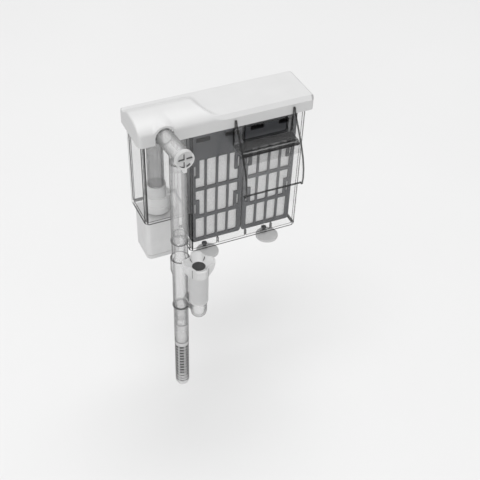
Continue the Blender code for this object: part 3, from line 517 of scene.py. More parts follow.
def build_housing():
    inner_y = (HOUSING_Y[0] + WALL, HOUSING_Y[1] - WALL)
    above_rim = HOUSING_TOP + 5.0
    media_x = (DIVIDER_X[0], HOUSING_X[1])
    pump_x = (HOUSING_X[0], DIVIDER_X[1] + 8.0)
    body = rounded_box("housing", media_x, HOUSING_Y, (MEDIA_BOTTOM, HOUSING_TOP), HOUSING_CORNER, FOOT_ROUND)
    join(body, rounded_box("pump_end", pump_x, HOUSING_Y, (PUMP_BOTTOM, HOUSING_TOP),
                           HOUSING_CORNER, FOOT_ROUND))
    corner = HOUSING_CORNER - WALL + 0.5
    cut(body, rounded_box("media_room", (DIVIDER_X[1], HOUSING_X[1] - WALL), inner_y,
                          (MEDIA_BOTTOM + WALL, above_rim), corner, FOOT_ROUND - 1.0),
        rounded_box("pump_room", (HOUSING_X[0] + WALL, DIVIDER_X[0]), inner_y,
                    (PUMP_BOTTOM + WALL, above_rim), corner, FOOT_ROUND - 1.0))
    join(body, *[box("rib", (x - RIB_HALF, x + RIB_HALF), (inner_y[0] - 0.8, inner_y[1] + 0.8),
                     (MEDIA_BOTTOM + 1.0, RIB_TOP)) for x in RIB_X])
    through_divider = (DIVIDER_X[0] - 1.0, DIVIDER_X[1] + 1.0)
    through_front = (HOUSING_Y[0] - 1.0, HOUSING_Y[0] + 5.0)
    notch_x = (ARCH_X - ELBOW_NOTCH, ARCH_X + ELBOW_NOTCH)
    cut(body,
        box("overflow", through_divider, (16.0, 49.0), (DIVIDER_TOP, above_rim)),
        box("passage", through_divider, (43.5, 50.0), (-68.0, -44.0)),
        prism("weir", rounded(WINDOW_X, WINDOW_Z, 2.0), "y", HOUSING_Y[0] - 1.0, HOUSING_Y[0] + 4.0),
        rod_along_y("notch", ARCH_X, ELBOW_Z, ELBOW_NOTCH, *through_front),
        box("above", notch_x, through_front, (ELBOW_Z + 0.01, above_rim)),
        rod("bore", (PUMP_X, PUMP_Y), WELL_OUTER + 0.4, PUMP_BOTTOM - 1.0, PUMP_BOTTOM + 3.0))
    for x in LEVELLER_X.values():
        cut(body, rod("pivot_hole", (x, LEVELLER_PIVOT_Y), LEVELLER_HOLE,
                      MEDIA_BOTTOM - 1.0, MEDIA_BOTTOM + 3.0, COARSE))
    return body


def build_outlet():
    """Bridge and chute as one bent channel, two cheeks and the plate around the weir's window."""
    channel = [(9.0, 2.0), (-8.0, 2.0), (-11.0, 1.0), (-13.0, -2.0), (-15.5, -10.0), (-19.0, -25.0),
               (-22.3, -41.0), (-22.5, -42.0), (-20.5, -42.5), (-20.3, -41.4), (-17.0, -25.5),
               (-13.5, -11.0), (-11.0, -3.0), (-10.2, -1.0), (-9.0, 0.0), (9.0, 0.0)]
    outlet = prism("waterfall_outlet", channel, "x", SPOUT_X[0], SPOUT_X[1])
    cheek = [(9.0, 0.2), (9.0, 20.6), (6.5, 20.6), (6.5, 29.5), (4.6, 29.5), (2.5, 24.0), (-10.5, 5.0),
             (-16.0, -4.0), (-20.5, -13.0), (-24.0, -24.0), (-25.0, -34.0), (-24.0, -42.3), (-21.0, -42.3),
             (-17.6, -25.5), (-14.1, -11.0), (-11.6, -3.0), (-9.6, 0.2)]
    for side in (SPOUT_X[0], SPOUT_X[1] - SPOUT_WALL):
        join(outlet, prism("cheek", cheek, "x", side, side + SPOUT_WALL))
    plate = box("plate", SPOUT_X, (7.2, 9.0), (0.6, 20.6))
    window = prism("window", rounded(WINDOW_X, (2.0, 18.6), 1.5), "y", 0.0, 12.0)
    join(outlet, cut(plate, window))
    return outlet


# ---------------------------------------------------------------- pump

def motor_block(name, inset, corner, low, high, foot=0.0):
    """Square block on the pump's axis, smaller than the motor by the inset on each side."""
    x, y = [(place - MOTOR_HALF + inset, place + MOTOR_HALF - inset) for place in (PUMP_X, PUMP_Y)]
    return rounded_box(name, x, y, (low, high), corner, foot)


def build_motor_case():
    case = motor_block("motor_case", 0.0, MOTOR_CORNER, MOTOR_BOTTOM, MOTOR_TOP)
    room = motor_block("room", 1.8, 3.8, MOTOR_BOTTOM - 1.0, MOTOR_TOP - 1.8)
    hole = rod("hole", (PUMP_X, PUMP_Y), WELL_OUTER + 0.4, MOTOR_TOP - 4.0, MOTOR_TOP + 1.0)
    back = PUMP_Y + MOTOR_HALF
    lead = rod_along_y("lead", PUMP_X, LEAD_Z, 3.1, back - 4.0, back + 1.0, COARSE)
    return cut(case, room, hole, lead)


def build_motor_base():
    base = motor_block("motor_base", 0.0, MOTOR_CORNER, BASE_BOTTOM, MOTOR_BOTTOM - GAP, 1.5)
    lip = motor_block("lip", 2.2, 3.4, MOTOR_BOTTOM - 1.5, MOTOR_BOTTOM + 2.0)
    inside = motor_block("inside", 4.0, 2.4, MOTOR_BOTTOM - 2.5, MOTOR_BOTTOM + 3.0)
    return cut(join(base, lip), inside)


def build_volute_cup():
    rings = [(14.2, -52.0), (14.2, -58.0), (13.8, -58.5), (13.8, -59.2), (14.2, -59.7), (14.2, -62.5),
             (13.8, -63.0), (13.8, -63.7), (14.2, -64.2), (14.2, -70.5), (13.4, -71.7), (12.7, -71.7),
             (12.7, -52.0)]
    cup = turned("volute_cup", rings, (PUMP_X, PUMP_Y))
    outlet = box("outlet", (PUMP_X + 6.0, PUMP_X + 18.0), (PUMP_Y + 1.0, PUMP_Y + 9.5), (-67.0, -60.5))
    return cut(cup, outlet)


def build_riser_socket():
    rings = [(10.2, -41.0), (10.2, -57.6), (12.3, -57.6), (12.3, -59.4), (7.2, -59.4), (7.2, -51.6),
             (9.0, -51.6), (9.0, -41.0)]
    socket = turned("riser_socket", rings, (PUMP_X, PUMP_Y))
    arms = [box("arm", (PUMP_X - along, PUMP_X + along), (PUMP_Y - across, PUMP_Y + across), (-56.5, -53.5))
            for along, across in ((8.0, 0.8), (0.8, 8.0))]
    hub = rod("hub", (PUMP_X, PUMP_Y), 3.2, -57.5, -53.0, COARSE)
    spider = join(hub, *arms)
    bore = rod("bore", (PUMP_X, PUMP_Y), 2.3, -60.0, -54.3, COARSE)
    return join(socket, cut(spider, bore))


def build_riser_tube():
    return pipe("riser_tube", (PUMP_X, PUMP_Y), PIPE_OUTER, PIPE_INNER, RISER_BOTTOM, RISER_TOP)


# ---------------------------------------------------------------- pipes

def elbow_path(foot, front):
    """Centre line: up from the riser, a quarter bend, then forward over the glass."""
    points = [(PUMP_X, PUMP_Y, foot)]
    for step in range(7):
        angle = math.radians(90.0 * step / 6.0)
        points.append((PUMP_X, PUMP_Y - ELBOW_BEND + ELBOW_BEND * math.cos(angle),
                       ELBOW_Z - ELBOW_BEND + ELBOW_BEND * math.sin(angle)))
    points.append((PUMP_X, front, ELBOW_Z))
    return points


def swing(item):
    """Turn an elbow piece about the riser's axis, so the inlet tube stands a little to the right."""
    pivot = Vector((PUMP_X, PUMP_Y, 0.0)) * MM
    turn = Matrix.Translation(pivot) @ Matrix.Rotation(ELBOW_TURN, 4, "Z") @ Matrix.Translation(-pivot)
    item.data.transform(turn)
    return item


def build_elbow():
    elbow = swept("elbow", elbow_path(ELBOW_FOOT, ELBOW_FRONT), PIPE_OUTER)
    drop_y = PUMP_Y - ELBOW_REACH
    drop = rod("drop", (PUMP_X, drop_y), PIPE_OUTER - 0.02, ELBOW_FOOT, ELBOW_Z)
    spigots = [rod("spigot", (PUMP_X, y), SPIGOT_OUTER, ELBOW_FOOT - 8.0, ELBOW_FOOT + 2.0)
               for y in (PUMP_Y, drop_y)]
    join(elbow, drop, *spigots)
    inside = swept("inside", elbow_path(ELBOW_FOOT + 1.0, ELBOW_FRONT - 3.0), PIPE_INNER)
    down = rod("down", (PUMP_X, drop_y), SPIGOT_INNER, ELBOW_FOOT - 10.0, ELBOW_Z)
    up = rod("up", (PUMP_X, PUMP_Y), SPIGOT_INNER, ELBOW_FOOT - 10.0, ELBOW_FOOT + 3.0)
    return swing(cut(elbow, inside, down, up))


def build_flow_knob():
    knob = rod_along_y("flow_knob", PUMP_X, ELBOW_Z, KNOB_RADIUS, ELBOW_FRONT - KNOB_DEPTH, ELBOW_FRONT - GAP)
    plug = rod_along_y("plug", PUMP_X, ELBOW_Z, 6.9, ELBOW_FRONT - 2.0, ELBOW_FRONT + 4.0)
    tab = box("tab", (PUMP_X - 1.6, PUMP_X + 1.6), (ELBOW_FRONT - 4.6, ELBOW_FRONT - 1.4),
              (ELBOW_Z - 13.6, ELBOW_Z - 8.0))
    join(knob, plug, tab)
    wedge = [(1.3, 45.0)] + [(POCKET_RADIUS, 7.0 + 19.0 * step) for step in range(5)]
    pockets = []
    for quarter in range(4):
        start = math.radians(90.0 * quarter)
        outline = []
        for radius, degrees in wedge:
            angle = start + math.radians(degrees)
            outline.append((PUMP_X + radius * math.cos(angle), ELBOW_Z + radius * math.sin(angle)))
        pockets.append(prism("pocket", outline, "y", ELBOW_FRONT - 8.0, ELBOW_FRONT - 2.6))
    return swing(cut(knob, together("pockets", pockets)))


def build_flow_shutter():
    """Part sleeve inside the elbow that swings over the mouth of the inlet tube."""
    angles = [math.radians(180.0 - 58.0 + 116.0 * i / 10.0) for i in range(11)]
    outline = [(PUMP_X + 6.95 * math.cos(a), ELBOW_Z + 6.95 * math.sin(a)) for a in angles]
    outline += [(PUMP_X + 5.8 * math.cos(a), ELBOW_Z + 5.8 * math.sin(a)) for a in reversed(angles)]
    return swing(prism("flow_shutter", outline, "y", ELBOW_FRONT + 4.3, PUMP_Y - ELBOW_REACH + 8.5))


def build_inlet_tube():
    top = ELBOW_FOOT - GAP
    rings = [(PIPE_OUTER, top), (PIPE_OUTER, TUBE_BOTTOM + 2.2), (PIPE_OUTER + 0.7, TUBE_BOTTOM + 1.7),
             (PIPE_OUTER + 0.7, TUBE_BOTTOM), (PIPE_INNER, TUBE_BOTTOM), (PIPE_INNER, top)]
    return turned("inlet_tube", rings, (TUBE_X, TUBE_Y))


def skimmer_link(radius):
    """Branch from the bottom of the float's cup, round and up into the main tube."""
    path = [(FLOAT_X, FLOAT_Y, -161.5), (FLOAT_X - 3.6, FLOAT_Y + 5.3, -160.5),
            (FLOAT_X - 8.1, FLOAT_Y + 11.9, -155.5), (TUBE_X, TUBE_Y, -143.5)]
    return swept("link", path, radius, ROUND)


def build_skimmer_body():
    """Tube with a collar, a flange and a grooved tail, joined to the cup that the float slides on."""
    tube = (TUBE_X, TUBE_Y)
    well = (FLOAT_X, FLOAT_Y)
    top = TUBE_BOTTOM - GAP
    rings = [(TAIL_OUTER, TAIL_BOTTOM)]
    for groove in reversed(GROOVE_Z):
        rings += [(TAIL_OUTER, groove - 1.2), (TAIL_OUTER - GROOVE_DEPTH, groove - 1.0),
                  (TAIL_OUTER - GROOVE_DEPTH, groove + 1.0), (TAIL_OUTER, groove + 1.2)]
    rings += [(TAIL_OUTER, SKIMMER_BOTTOM), (FLANGE_RADIUS, SKIMMER_BOTTOM),
              (FLANGE_RADIUS, SKIMMER_BOTTOM + 1.8), (SKIMMER_OUTER, SKIMMER_BOTTOM + 2.4),
              (SKIMMER_OUTER, COLLAR_Z[0] - 6.0), (COLLAR_RADIUS, COLLAR_Z[0]),
              (COLLAR_RADIUS, COLLAR_Z[1]), (SKIMMER_OUTER, COLLAR_Z[1]), (SKIMMER_OUTER, top),
              (SPIGOT_OUTER, top), (SPIGOT_OUTER, top + 10.0)]
    body = turned("skimmer_body", rings, tube, closed=False)
    cup = turned("cup", [(3.0, -169.9), (6.0, -168.7), (8.0, -166.1), (8.9, -162.0), (8.9, -118.0)],
                 well, closed=False)
    join(body, cup, skimmer_link(5.4))
    room = turned("room", [(TAIL_INNER, TAIL_BOTTOM - 2.0), (TAIL_INNER, SKIMMER_BOTTOM + 3.0),
                           (PIPE_INNER, SKIMMER_BOTTOM + 5.0), (PIPE_INNER, -103.0), (SPIGOT_INNER, -99.0),
                           (SPIGOT_INNER, top + 12.0)], tube, closed=False)
    cup_room = turned("cup_room", [(2.6, -168.3), (5.2, -167.1), (6.9, -164.9), (7.6, -161.5),
                                   (7.6, -114.0)], well, closed=False)
    return cut(body, room, cup_room, skimmer_link(4.1))


def lobed(radius_valley, radius_lobe, height, segments=120):
    """Four-lobed ring of points around the float's axis; each hollow clears a tube beside it."""
    apart = math.hypot(TUBE_X - FLOAT_X, TUBE_Y - FLOAT_Y)
    clear_radius = 11.1
    points = []
    for index in range(segments):
        angle = 2.0 * math.pi * index / segments
        share = abs(math.cos(2.0 * (angle - FLOAT_TURN)))
        radius = radius_valley + (radius_lobe - radius_valley) * share ** 0.55
        aside = (angle - FLOAT_TURN) % (math.pi / 2.0) - math.pi / 4.0
        room = clear_radius ** 2 - (apart * math.sin(aside)) ** 2
        if room > 0.0:
            radius = min(radius, apart * math.cos(aside) - math.sqrt(room))
        points.append((FLOAT_X + radius * math.cos(angle), FLOAT_Y + radius * math.sin(angle), height))
    return points


def build_skimmer_float():
    """Floating funnel: four-lobed head over a sleeve that slides on the skimmer's cup."""
    top = FLOAT_TOP
    profile = [(SLEEVE_OUTER, SLEEVE_OUTER, FLOAT_BOTTOM), (SLEEVE_OUTER, SLEEVE_OUTER, top - 17.0),
               (11.2, 12.6, top - 14.5), (11.6, 15.8, top - 9.0), (11.8, 17.1, top - 3.0), (11.8, 17.3, top),
               (10.6, 15.6, top + FLOAT_LIP), (9.6, 12.6, top - 2.2), (8.4, 9.4, top - 4.6),
               (THROAT, THROAT, top - 6.0), (THROAT, THROAT, top - 7.6),
               (SLEEVE_INNER, SLEEVE_INNER, top - 11.0), (SLEEVE_INNER, SLEEVE_INNER, FLOAT_BOTTOM)]
    funnel = loft("skimmer_float", [lobed(*ring) for ring in profile], closed=True)
    slits = []
    for quarter in range(4):
        angle = FLOAT_TURN + math.radians(45.0 + 90.0 * quarter)
        outward = Vector((math.cos(angle), math.sin(angle)))
        across = Vector((-math.sin(angle), math.cos(angle))) * 0.5
        near, far = [Vector((FLOAT_X, FLOAT_Y)) + outward * distance for distance in (7.8, 10.9)]
        outline = [near + across, near - across, far - across, far + across]
        slits.append(prism("slit", [tuple(corner) for corner in outline], "z", top - 5.4, top + 2.0))
    return cut(funnel, together("slits", slits))


def build_extension_tube():
    return pipe("extension_tube", (TUBE_X, TUBE_Y), EXTENSION_OUTER, EXTENSION_INNER,
                EXTENSION_BOTTOM, EXTENSION_TOP)


def build_strainer():
    """Slotted tube with a closed end, fine slots in eight columns and a neck into the extension."""
    pitch = (SLOT_TOP - STRAINER_BOTTOM - 9.0) / SLOT_ROWS
    levels = [SLOT_TOP]
    for row in range(SLOT_ROWS):
        upper = SLOT_TOP - pitch * row
        levels += [upper - pitch * 0.55, upper - pitch]
    shape = bmesh.new()

    def ring(radius, level):
        return [shape.verts.new((TUBE_X + px, TUBE_Y + py, level))
                for px, py in circle(radius, STRAINER_SIDES)]

    walls = []
    for neck, radius, shoulder in ((NECK_OUTER, STRAINER_OUTER - 0.1, STRAINER_TOP),
                                   (NECK_INNER, STRAINER_INNER, STRAINER_TOP - 1.2)):
        profile = [(neck, NECK_TOP), (neck, shoulder), (radius, shoulder)]
        walls.append([ring(size, level) for size, level in profile + [(radius, level) for level in levels]])
    outer, inner = walls

    def is_slot(row, column):
        return 3 <= row < len(outer) - 1 and row % 2 == 1 and 1 <= column % 8 <= 6

    for row in range(len(outer) - 1):
        for column in range(STRAINER_SIDES):
            after = (column + 1) % STRAINER_SIDES
            pair = (column, after)
            if not is_slot(row, column):
                for wall in walls:
                    bridge(shape, [wall[row][i] for i in pair], [wall[row + 1][i] for i in pair], False)
                continue
            for level in (row, row + 1):
                bridge(shape, [outer[level][i] for i in pair], [inner[level][i] for i in pair], False)
            for edge, beside in ((column, column - 1), (after, after)):
                if not is_slot(row, beside % STRAINER_SIDES):
                    ends = (row, row + 1)
                    bridge(shape, [outer[i][edge] for i in ends], [inner[i][edge] for i in ends], False)
    bridge(shape, outer[0], inner[0])
    for wall, radius, tip in ((outer, STRAINER_OUTER - 0.1, STRAINER_BOTTOM + 0.3),
                              (inner, STRAINER_INNER, STRAINER_BOTTOM + 1.4)):
        previous = wall[-1]
        drop = levels[-1] - tip
        for step in (0.12, 0.25, 0.4, 0.55, 0.7, 0.85, 0.95):
            angle = step * math.pi / 2.0
            dome = ring(radius * math.cos(angle), levels[-1] - drop * math.sin(angle))
            bridge(shape, previous, dome)
            previous = dome
        shape.faces.new(previous)
    return from_bmesh("strainer", shape)


# ---------------------------------------------------------------- cartridges

def window_outline(start, row, side, end):
    """Grid window. A clip tongue fills the corner that side and end, each -1 or 1, point to; 0 is none."""
    if side == 0 or end == 0:
        return rounded((start, start + WINDOW_W), row, 1.5, 5)
    near, far = (start, start + WINDOW_W) if side < 0 else (start + WINDOW_W, start)
    inward = near - side * TONGUE_W
    shut, clear = (row[1], row[0]) if end > 0 else (row[0], row[1])
    step = shut + (clear - shut) * 0.62
    return [(near, clear), (far, clear), (far, shut), (inward, shut), (inward, step), (near, step)]


def cartridge_windows(left, low, high):
    outlines = []
    for column, side in enumerate((-1, 0, 0, 1)):
        start = left + 5.0 + column * (WINDOW_W + BAR_W)
        outlines += [window_outline(start, row, side, end) for row, end in zip(ROW_Z, (1, -1, 0))]
    for start in (left + 5.5, left + CART_WIDTH - 20.5):
        outlines.append(rounded((start, start + GRIP_W), GRIP_Z, 1.0, 4))
    for start in (left + 3.4, left + CART_WIDTH - 5.6):
        outlines += [rounded((start, start + 2.2), (level, level + 13.0), 0.7, 4) for level in CLIP_Z]
    return together("windows", [prism("window", outline, "y", low, high) for outline in outlines])


def build_cartridge_frame(name, left, face, inner_edge):
    """Tray with a grid face; face is the outer skin's y and inner_edge the open side's y."""
    low, high = sorted((face, inner_edge))
    right = left + CART_WIDTH
    tray = prism(name, rounded((left, right), CART_Z, 3.0, 8), "y", low, high)
    inward = CART_SKIN if inner_edge > face else -CART_SKIN
    room_y = sorted((face + inward, inner_edge + inward * 2.0))
    inside = rounded((left + CART_SIDE, right - CART_SIDE), (CART_Z[0] + CART_SIDE, CART_Z[1] - CART_SIDE),
                     1.8, 6)
    cut(tray, prism("room", inside, "y", room_y[0], room_y[1]))
    return cut(tray, cartridge_windows(left, face - 3.0, face + 3.0))


def build_pad(name, x, y, z, seed):
    """Fleece pad whose two faces are slightly uneven."""
    shape = bmesh.new()
    sheets = []
    for level, sign in ((y[0], 1.0), (y[1], -1.0)):
        sheet = []
        for i in range(PAD_COLUMNS + 1):
            line = []
            for j in range(PAD_ROWS + 1):
                px = x[0] + (x[1] - x[0]) * i / PAD_COLUMNS
                pz = z[0] + (z[1] - z[0]) * j / PAD_ROWS
                dip = 0.12 * (1.0 + math.sin(px * 1.7 + seed) * math.cos(pz * 1.3 - seed)) * sign
                line.append(shape.verts.new((px, level + dip, pz)))
            sheet.append(line)
        sheets.append(sheet)
    for sheet in sheets:
        fill_grid(shape, sheet)
    bridge(shape, rim_of(sheets[0]), rim_of(sheets[1]))
    return from_bmesh(name, shape)


# ---------------------------------------------------------------- levelling cams

def build_leveller(side):
    """Disc with a softened edge, hung off-centre on its pivot."""
    x = LEVELLER_X[side]
    low, high = LEVELLER_Z
    radius = LEVELLER_RADIUS
    profile = [(radius - 0.5, low), (radius - 0.15, low + 0.15), (radius, low + 0.5), (radius, high - 0.5),
               (radius - 0.15, high - 0.15), (radius - 0.5, high)]
    disc = turned("disc", profile, (x, LEVELLER_Y), closed=False)
    return cut(disc, rod("hole", (x, LEVELLER_PIVOT_Y), LEVELLER_HOLE, low - 2.0, high + 2.0))


# ---------------------------------------------------------------- materials

class Nodes:
    """Small helper for building one node material."""

    def __init__(self, name):
        self.material = bpy.data.materials.new(name)
        self.material.use_nodes = True
        self.tree = self.material.node_tree
        self.tree.nodes.clear()
        self.output = self.add("ShaderNodeOutputMaterial")

    def add(self, kind, **settings):
        node = self.tree.nodes.new(kind)
        for key, value in settings.items():
            setattr(node, key, value)
        return node

    def link(self, source, target):
        self.tree.links.new(source, target)

    def textured(self, kind, scale, **settings):
        """A texture node on the object's own coordinates."""
        place = self.add("ShaderNodeTexCoord")
        texture = self.add(kind, **settings)
        texture.inputs["Scale"].default_value = scale
        self.link(place.outputs["Object"], texture.inputs["Vector"])
        return texture

    def noise(self, scale, detail=4.0):
        texture = self.textured("ShaderNodeTexNoise", scale)
        texture.inputs["Detail"].default_value = detail
        return texture.outputs["Fac"]

    def ramp(self, source, stops):
        node = self.add("ShaderNodeValToRGB")
        elements = node.color_ramp.elements
        while len(elements) < len(stops):
            elements.new(0.5)
        for element, (position, colour) in zip(elements, stops):
            element.position = position
            element.color = (*colour, 1.0)
        self.link(source, node.inputs["Fac"])
        return node.outputs["Color"]

    def bump(self, source, strength, distance):
        node = self.add("ShaderNodeBump")
        node.inputs["Strength"].default_value = strength
        node.inputs["Distance"].default_value = distance
        self.link(source, node.inputs["Height"])
        return node.outputs["Normal"]

    def facing(self, blend, stops):
        """Colours from face on, at 0, to the silhouette, at 1."""
        weight = self.add("ShaderNodeLayerWeight")
        weight.inputs["Blend"].default_value = blend
        return self.ramp(weight.outputs["Facing"], stops)

    def plastic(self, roughness, colour, normal, metallic=0.0):
        shader = self.add("ShaderNodeBsdfPrincipled")
        shader.inputs["Roughness"].default_value = roughness
        shader.inputs["Metallic"].default_value = metallic
        self.link(colour, shader.inputs["Base Color"])
        self.link(normal, shader.inputs["Normal"])
        return shader.outputs["BSDF"]

    def coloured(self, kind, level):
        """A simple shader of one grey."""
        shader = self.add(kind)
        shader.inputs["Color"].default_value = (*grey(level), 1.0)
        return shader.outputs["BSDF"]

    def mix(self, amount, first, second):
        """Blend two shaders by a number or by a socket."""
        node = self.add("ShaderNodeMixShader")
        if isinstance(amount, float):
            node.inputs["Fac"].default_value = amount
        else:
            self.link(amount, node.inputs["Fac"])
        self.link(first, node.inputs[1])
        self.link(second, node.inputs[2])
        return node.outputs["Shader"]

    def finish(self, shader):
        self.link(shader, self.output.inputs["Surface"])
        return self.material


def grey(value):
    return (value, value, value)


def grain(light, dark):
    """Colour stops for a fine grain between two greys or colours."""
    return [(0.3, dark), (0.7, light)]


def solid(name, dark, light, roughness, scale=60.0, bump=0.05, metallic=0.0, distance=0.0004,
          detail=4.0):
    """Opaque surface whose colour and grain vary slightly."""
    n = Nodes(name)
    noise = n.noise(scale, detail)
    return n.finish(n.plastic(roughness, n.ramp(noise, grain(light, dark)), n.bump(noise, bump, distance),
                              metallic))


def frosted(name, level, see_through):
    """Milky plastic that lets light through and thins out face on."""
    n = Nodes(name)
    noise = n.noise(140.0)
    colour = n.ramp(noise, grain(grey(level), grey(level * 0.95)))
    surface = n.plastic(0.3, colour, n.bump(noise, 0.04, 0.0003))
    milk = n.mix(0.35, surface, n.coloured("ShaderNodeBsdfTranslucent", level))
    amount = n.facing(0.35, [(0.0, grey(1.0 - see_through)), (0.8, grey(1.0))])
    return n.finish(n.mix(amount, n.coloured("ShaderNodeBsdfTransparent", 0.95), milk))


def clear_shell(n, tint, shine, haze=0.0):
    """Clear plastic: tinted see-through film under a sharp reflection, with an optional milky haze."""
    film = n.add("ShaderNodeBsdfTransparent")
    n.link(tint, film.inputs["Color"])
    body = film.outputs["BSDF"]
    if haze > 0.0:
        body = n.mix(haze, body, n.coloured("ShaderNodeBsdfDiffuse", 0.84))
    gloss = n.add("ShaderNodeBsdfGlossy")
    gloss.inputs["Color"].default_value = (*grey(0.95), 1.0)
    n.link(n.ramp(n.noise(45.0, 2.0), grain(grey(0.12), grey(0.05))), gloss.inputs["Roughness"])
    strength = n.facing(0.5, [(0.0, grey(shine)), (0.65, grey(shine * 1.5)),
                              (0.88, grey(shine * 4.0)), (1.0, grey(shine * 12.0))])
    return n.finish(n.mix(strength, body, gloss.outputs["BSDF"]))


def clear_tube(name, face, edge, haze=0.0, shine=0.045):
    """Clear plastic for round pieces: darker towards the silhouette."""
    n = Nodes(name)
    tint = n.facing(0.5, [(0.0, grey(face)), (0.38, grey(face * 0.98)),
                          (0.62, grey((face + edge) / 2.0)), (0.85, grey(edge))])
    return clear_shell(n, tint, shine, haze)


def clear_wall(name, face, haze):
    """Clear plastic for moulded walls. Rounded corners, whose normals lie off the axes, carry a dark band of
    painted shade.
    """
    n = Nodes(name)
    geometry = n.add("ShaderNodeNewGeometry")
    parts = n.add("ShaderNodeSeparateXYZ")
    n.link(geometry.outputs["True Normal"], parts.inputs["Vector"])
    largest = None
    for axis in ("X", "Y", "Z"):
        size = n.add("ShaderNodeMath", operation="ABSOLUTE")
        n.link(parts.outputs[axis], size.inputs[0])
        if largest:
            pair = n.add("ShaderNodeMath", operation="MAXIMUM")
            n.link(largest.outputs["Value"], pair.inputs[0])
            n.link(size.outputs["Value"], pair.inputs[1])
            size = pair
        largest = size
    # painted shade: dark grey for the band on the rounded corners
    dark = grey(0.12)
    tint = n.ramp(largest.outputs["Value"], [(0.72, grey(face)), (0.80, grey(face)), (0.83, dark),
                                             (0.92, dark), (0.96, grey(face)), (1.0, grey(face))])
    return clear_shell(n, tint, 0.025, haze)


def granules(name):
    n = Nodes(name)
    cells = n.textured("ShaderNodeTexVoronoi", 700.0).outputs["Distance"]
    colour = n.ramp(cells, [(0.0, grey(0.05)), (0.8, grey(0.012))])
    return n.finish(n.plastic(0.75, colour, n.bump(cells, 0.8, 0.001)))


def winding(name):
    n = Nodes(name)
    wave = n.textured("ShaderNodeTexWave", 900.0, bands_direction="Z").outputs["Fac"]
    colour = n.ramp(wave, [(0.0, (0.25, 0.09, 0.04)), (1.0, (0.62, 0.28, 0.13))])
    return n.finish(n.plastic(0.35, colour, n.bump(wave, 0.6, 0.0004), 1.0))


def make_looks():
    looks = {"granules": granules("carbon"), "winding": winding("copper_winding")}
    # name: how clear it is face on and how milky it is
    for name, face, haze in (("wall", 0.99, 0.012), ("pump_wall", 0.955, 0.02), ("outlet", 0.985, 0.012)):
        looks[name] = clear_wall("clear_" + name, face, haze)
    # edge and rim are painted shade for dark outlines and rings; bridge is a painted reflection, a darker
    # tint on the outlet's bridge
    # name: how clear it is face on and at the silhouette, how milky and how glossy it is
    for name, *levels in (("tube", 0.94, 0.48, 0.12), ("riser", 0.79, 0.48, 0.08),
                          ("skimmer", 0.95, 0.32, 0.12), ("edge", 0.26, 0.14), ("link", 0.62, 0.22, 0.06),
                          ("bridge", 0.45, 0.40, 0.04, 0.01), ("elbow", 0.93, 0.35, 0.14, 0.06),
                          ("rim", 0.16, 0.05), ("strainer", 0.97, 0.50, 0.40)):
        looks[name] = clear_tube("clear_" + name, *levels)
    # name: how white it is and how much it lets through face on
    for name, level, see_through in (("cup", 0.84, 0.10), ("float", 0.78, 0.12), ("knob", 0.75, 0.45),
                                     ("disc", 0.62, 0.40)):
        looks[name] = frosted(name + "_frosted", level, see_through)
    # The first three of these greys are painted shade: in recesses, inside the float's throat and on the
    # cover's far rounded edges.
    # name: dark and light grey of the grain, roughness, then the grain's scale and bump
    for name, dark, light, *surface in (("shade", 0.07, 0.09, 0.50), ("throat_shade", 0.14, 0.17, 0.50),
                                        ("cover_edge_shade", 0.36, 0.38, 0.40, 40.0, 0.03),
                                        ("cover", 0.55, 0.57, 0.40, 40.0, 0.03),
                                        ("pump", 0.58, 0.62, 0.45, 80.0, 0.05),
                                        ("rubber", 0.02, 0.035, 0.65, 200.0, 0.1),
                                        ("ceramic", 0.78, 0.84, 0.22, 90.0, 0.02),
                                        ("magnet", 0.05, 0.075, 0.45, 160.0, 0.12),
                                        ("impeller", 0.74, 0.80, 0.35, 90.0, 0.04)):
        looks[name] = solid(name, grey(dark), grey(light), *surface)
    looks["slate"] = solid("slate_plastic", (0.036, 0.038, 0.043), (0.046, 0.048, 0.053), 0.50, 120.0, 0.06)
    looks["wool"] = solid("filter_wool", grey(0.60), grey(0.80), 0.95, 900.0, 0.7,
                          distance=0.0012, detail=8.0)
    looks["steel"] = solid("laminated_steel", grey(0.45), grey(0.62), 0.3, 300.0, 0.1, metallic=1.0)
    return looks


# ---------------------------------------------------------------- placing pieces

def dress(item, look, edge_angle=32.0):
    """Clean the mesh, smooth its round faces and give it a material."""
    shape = bmesh.new()
    shape.from_mesh(item.data)
    bmesh.ops.remove_doubles(shape, verts=shape.verts, dist=0.000004)
    for face in shape.faces:
        face.smooth = True
        face.material_index = 0
    for edge in shape.edges:
        edge.smooth = len(edge.link_faces) == 2 and edge.calc_face_angle(0.0) < math.radians(edge_angle)
    shape.to_mesh(item.data)
    shape.free()
    item.data.materials.clear()
    item.data.materials.append(look)
    even_out(item)


def even_out(item):
    """Let large faces set the normals, so flat walls stay flat beside rounded corners."""
    weighted = item.modifiers.new("even_normals", "WEIGHTED_NORMAL")
    weighted.weight = 100
    weighted.keep_sharp = True


def soften(item, width):
    bevel = item.modifiers.new("soften", "BEVEL")
    bevel.width = width * MM
    bevel.segments = 3
    bevel.limit_method = "ANGLE"
    bevel.angle_limit = math.radians(35.0)
    bevel.harden_normals = False


def place(item, look, node, edge_angle=32.0):
    """Put a piece in place of its CAD node and on the node's body; pieces in the clear and frosted slots cast
    no shadow.
    """
    body = BODY_OF[node]
    slot_name = SLOT_OF[node]
    dress(item, look, edge_angle)
    item.visible_shadow = slot_name not in ("clear_plastic", "frosted_white")
    item.name = "look_" + node
    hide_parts(node)
    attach(item, body)
    return item


def paint(item, look, test):
    """Give the faces that pass the test a material of their own."""
    item.data.materials.append(look)
    index = len(item.data.materials) - 1
    for face in item.data.polygons:
        if test(face.center / MM, face.normal):
            face.material_index = index


def dress_cad(node, look, width=0.0):
    """Keep a CAD node as it is, with a material and, if given, rounded edges."""
    item = frame["nodes"][node]
    item.data.materials.clear()
    item.data.materials.append(look)
    if width:
        soften(item, width)


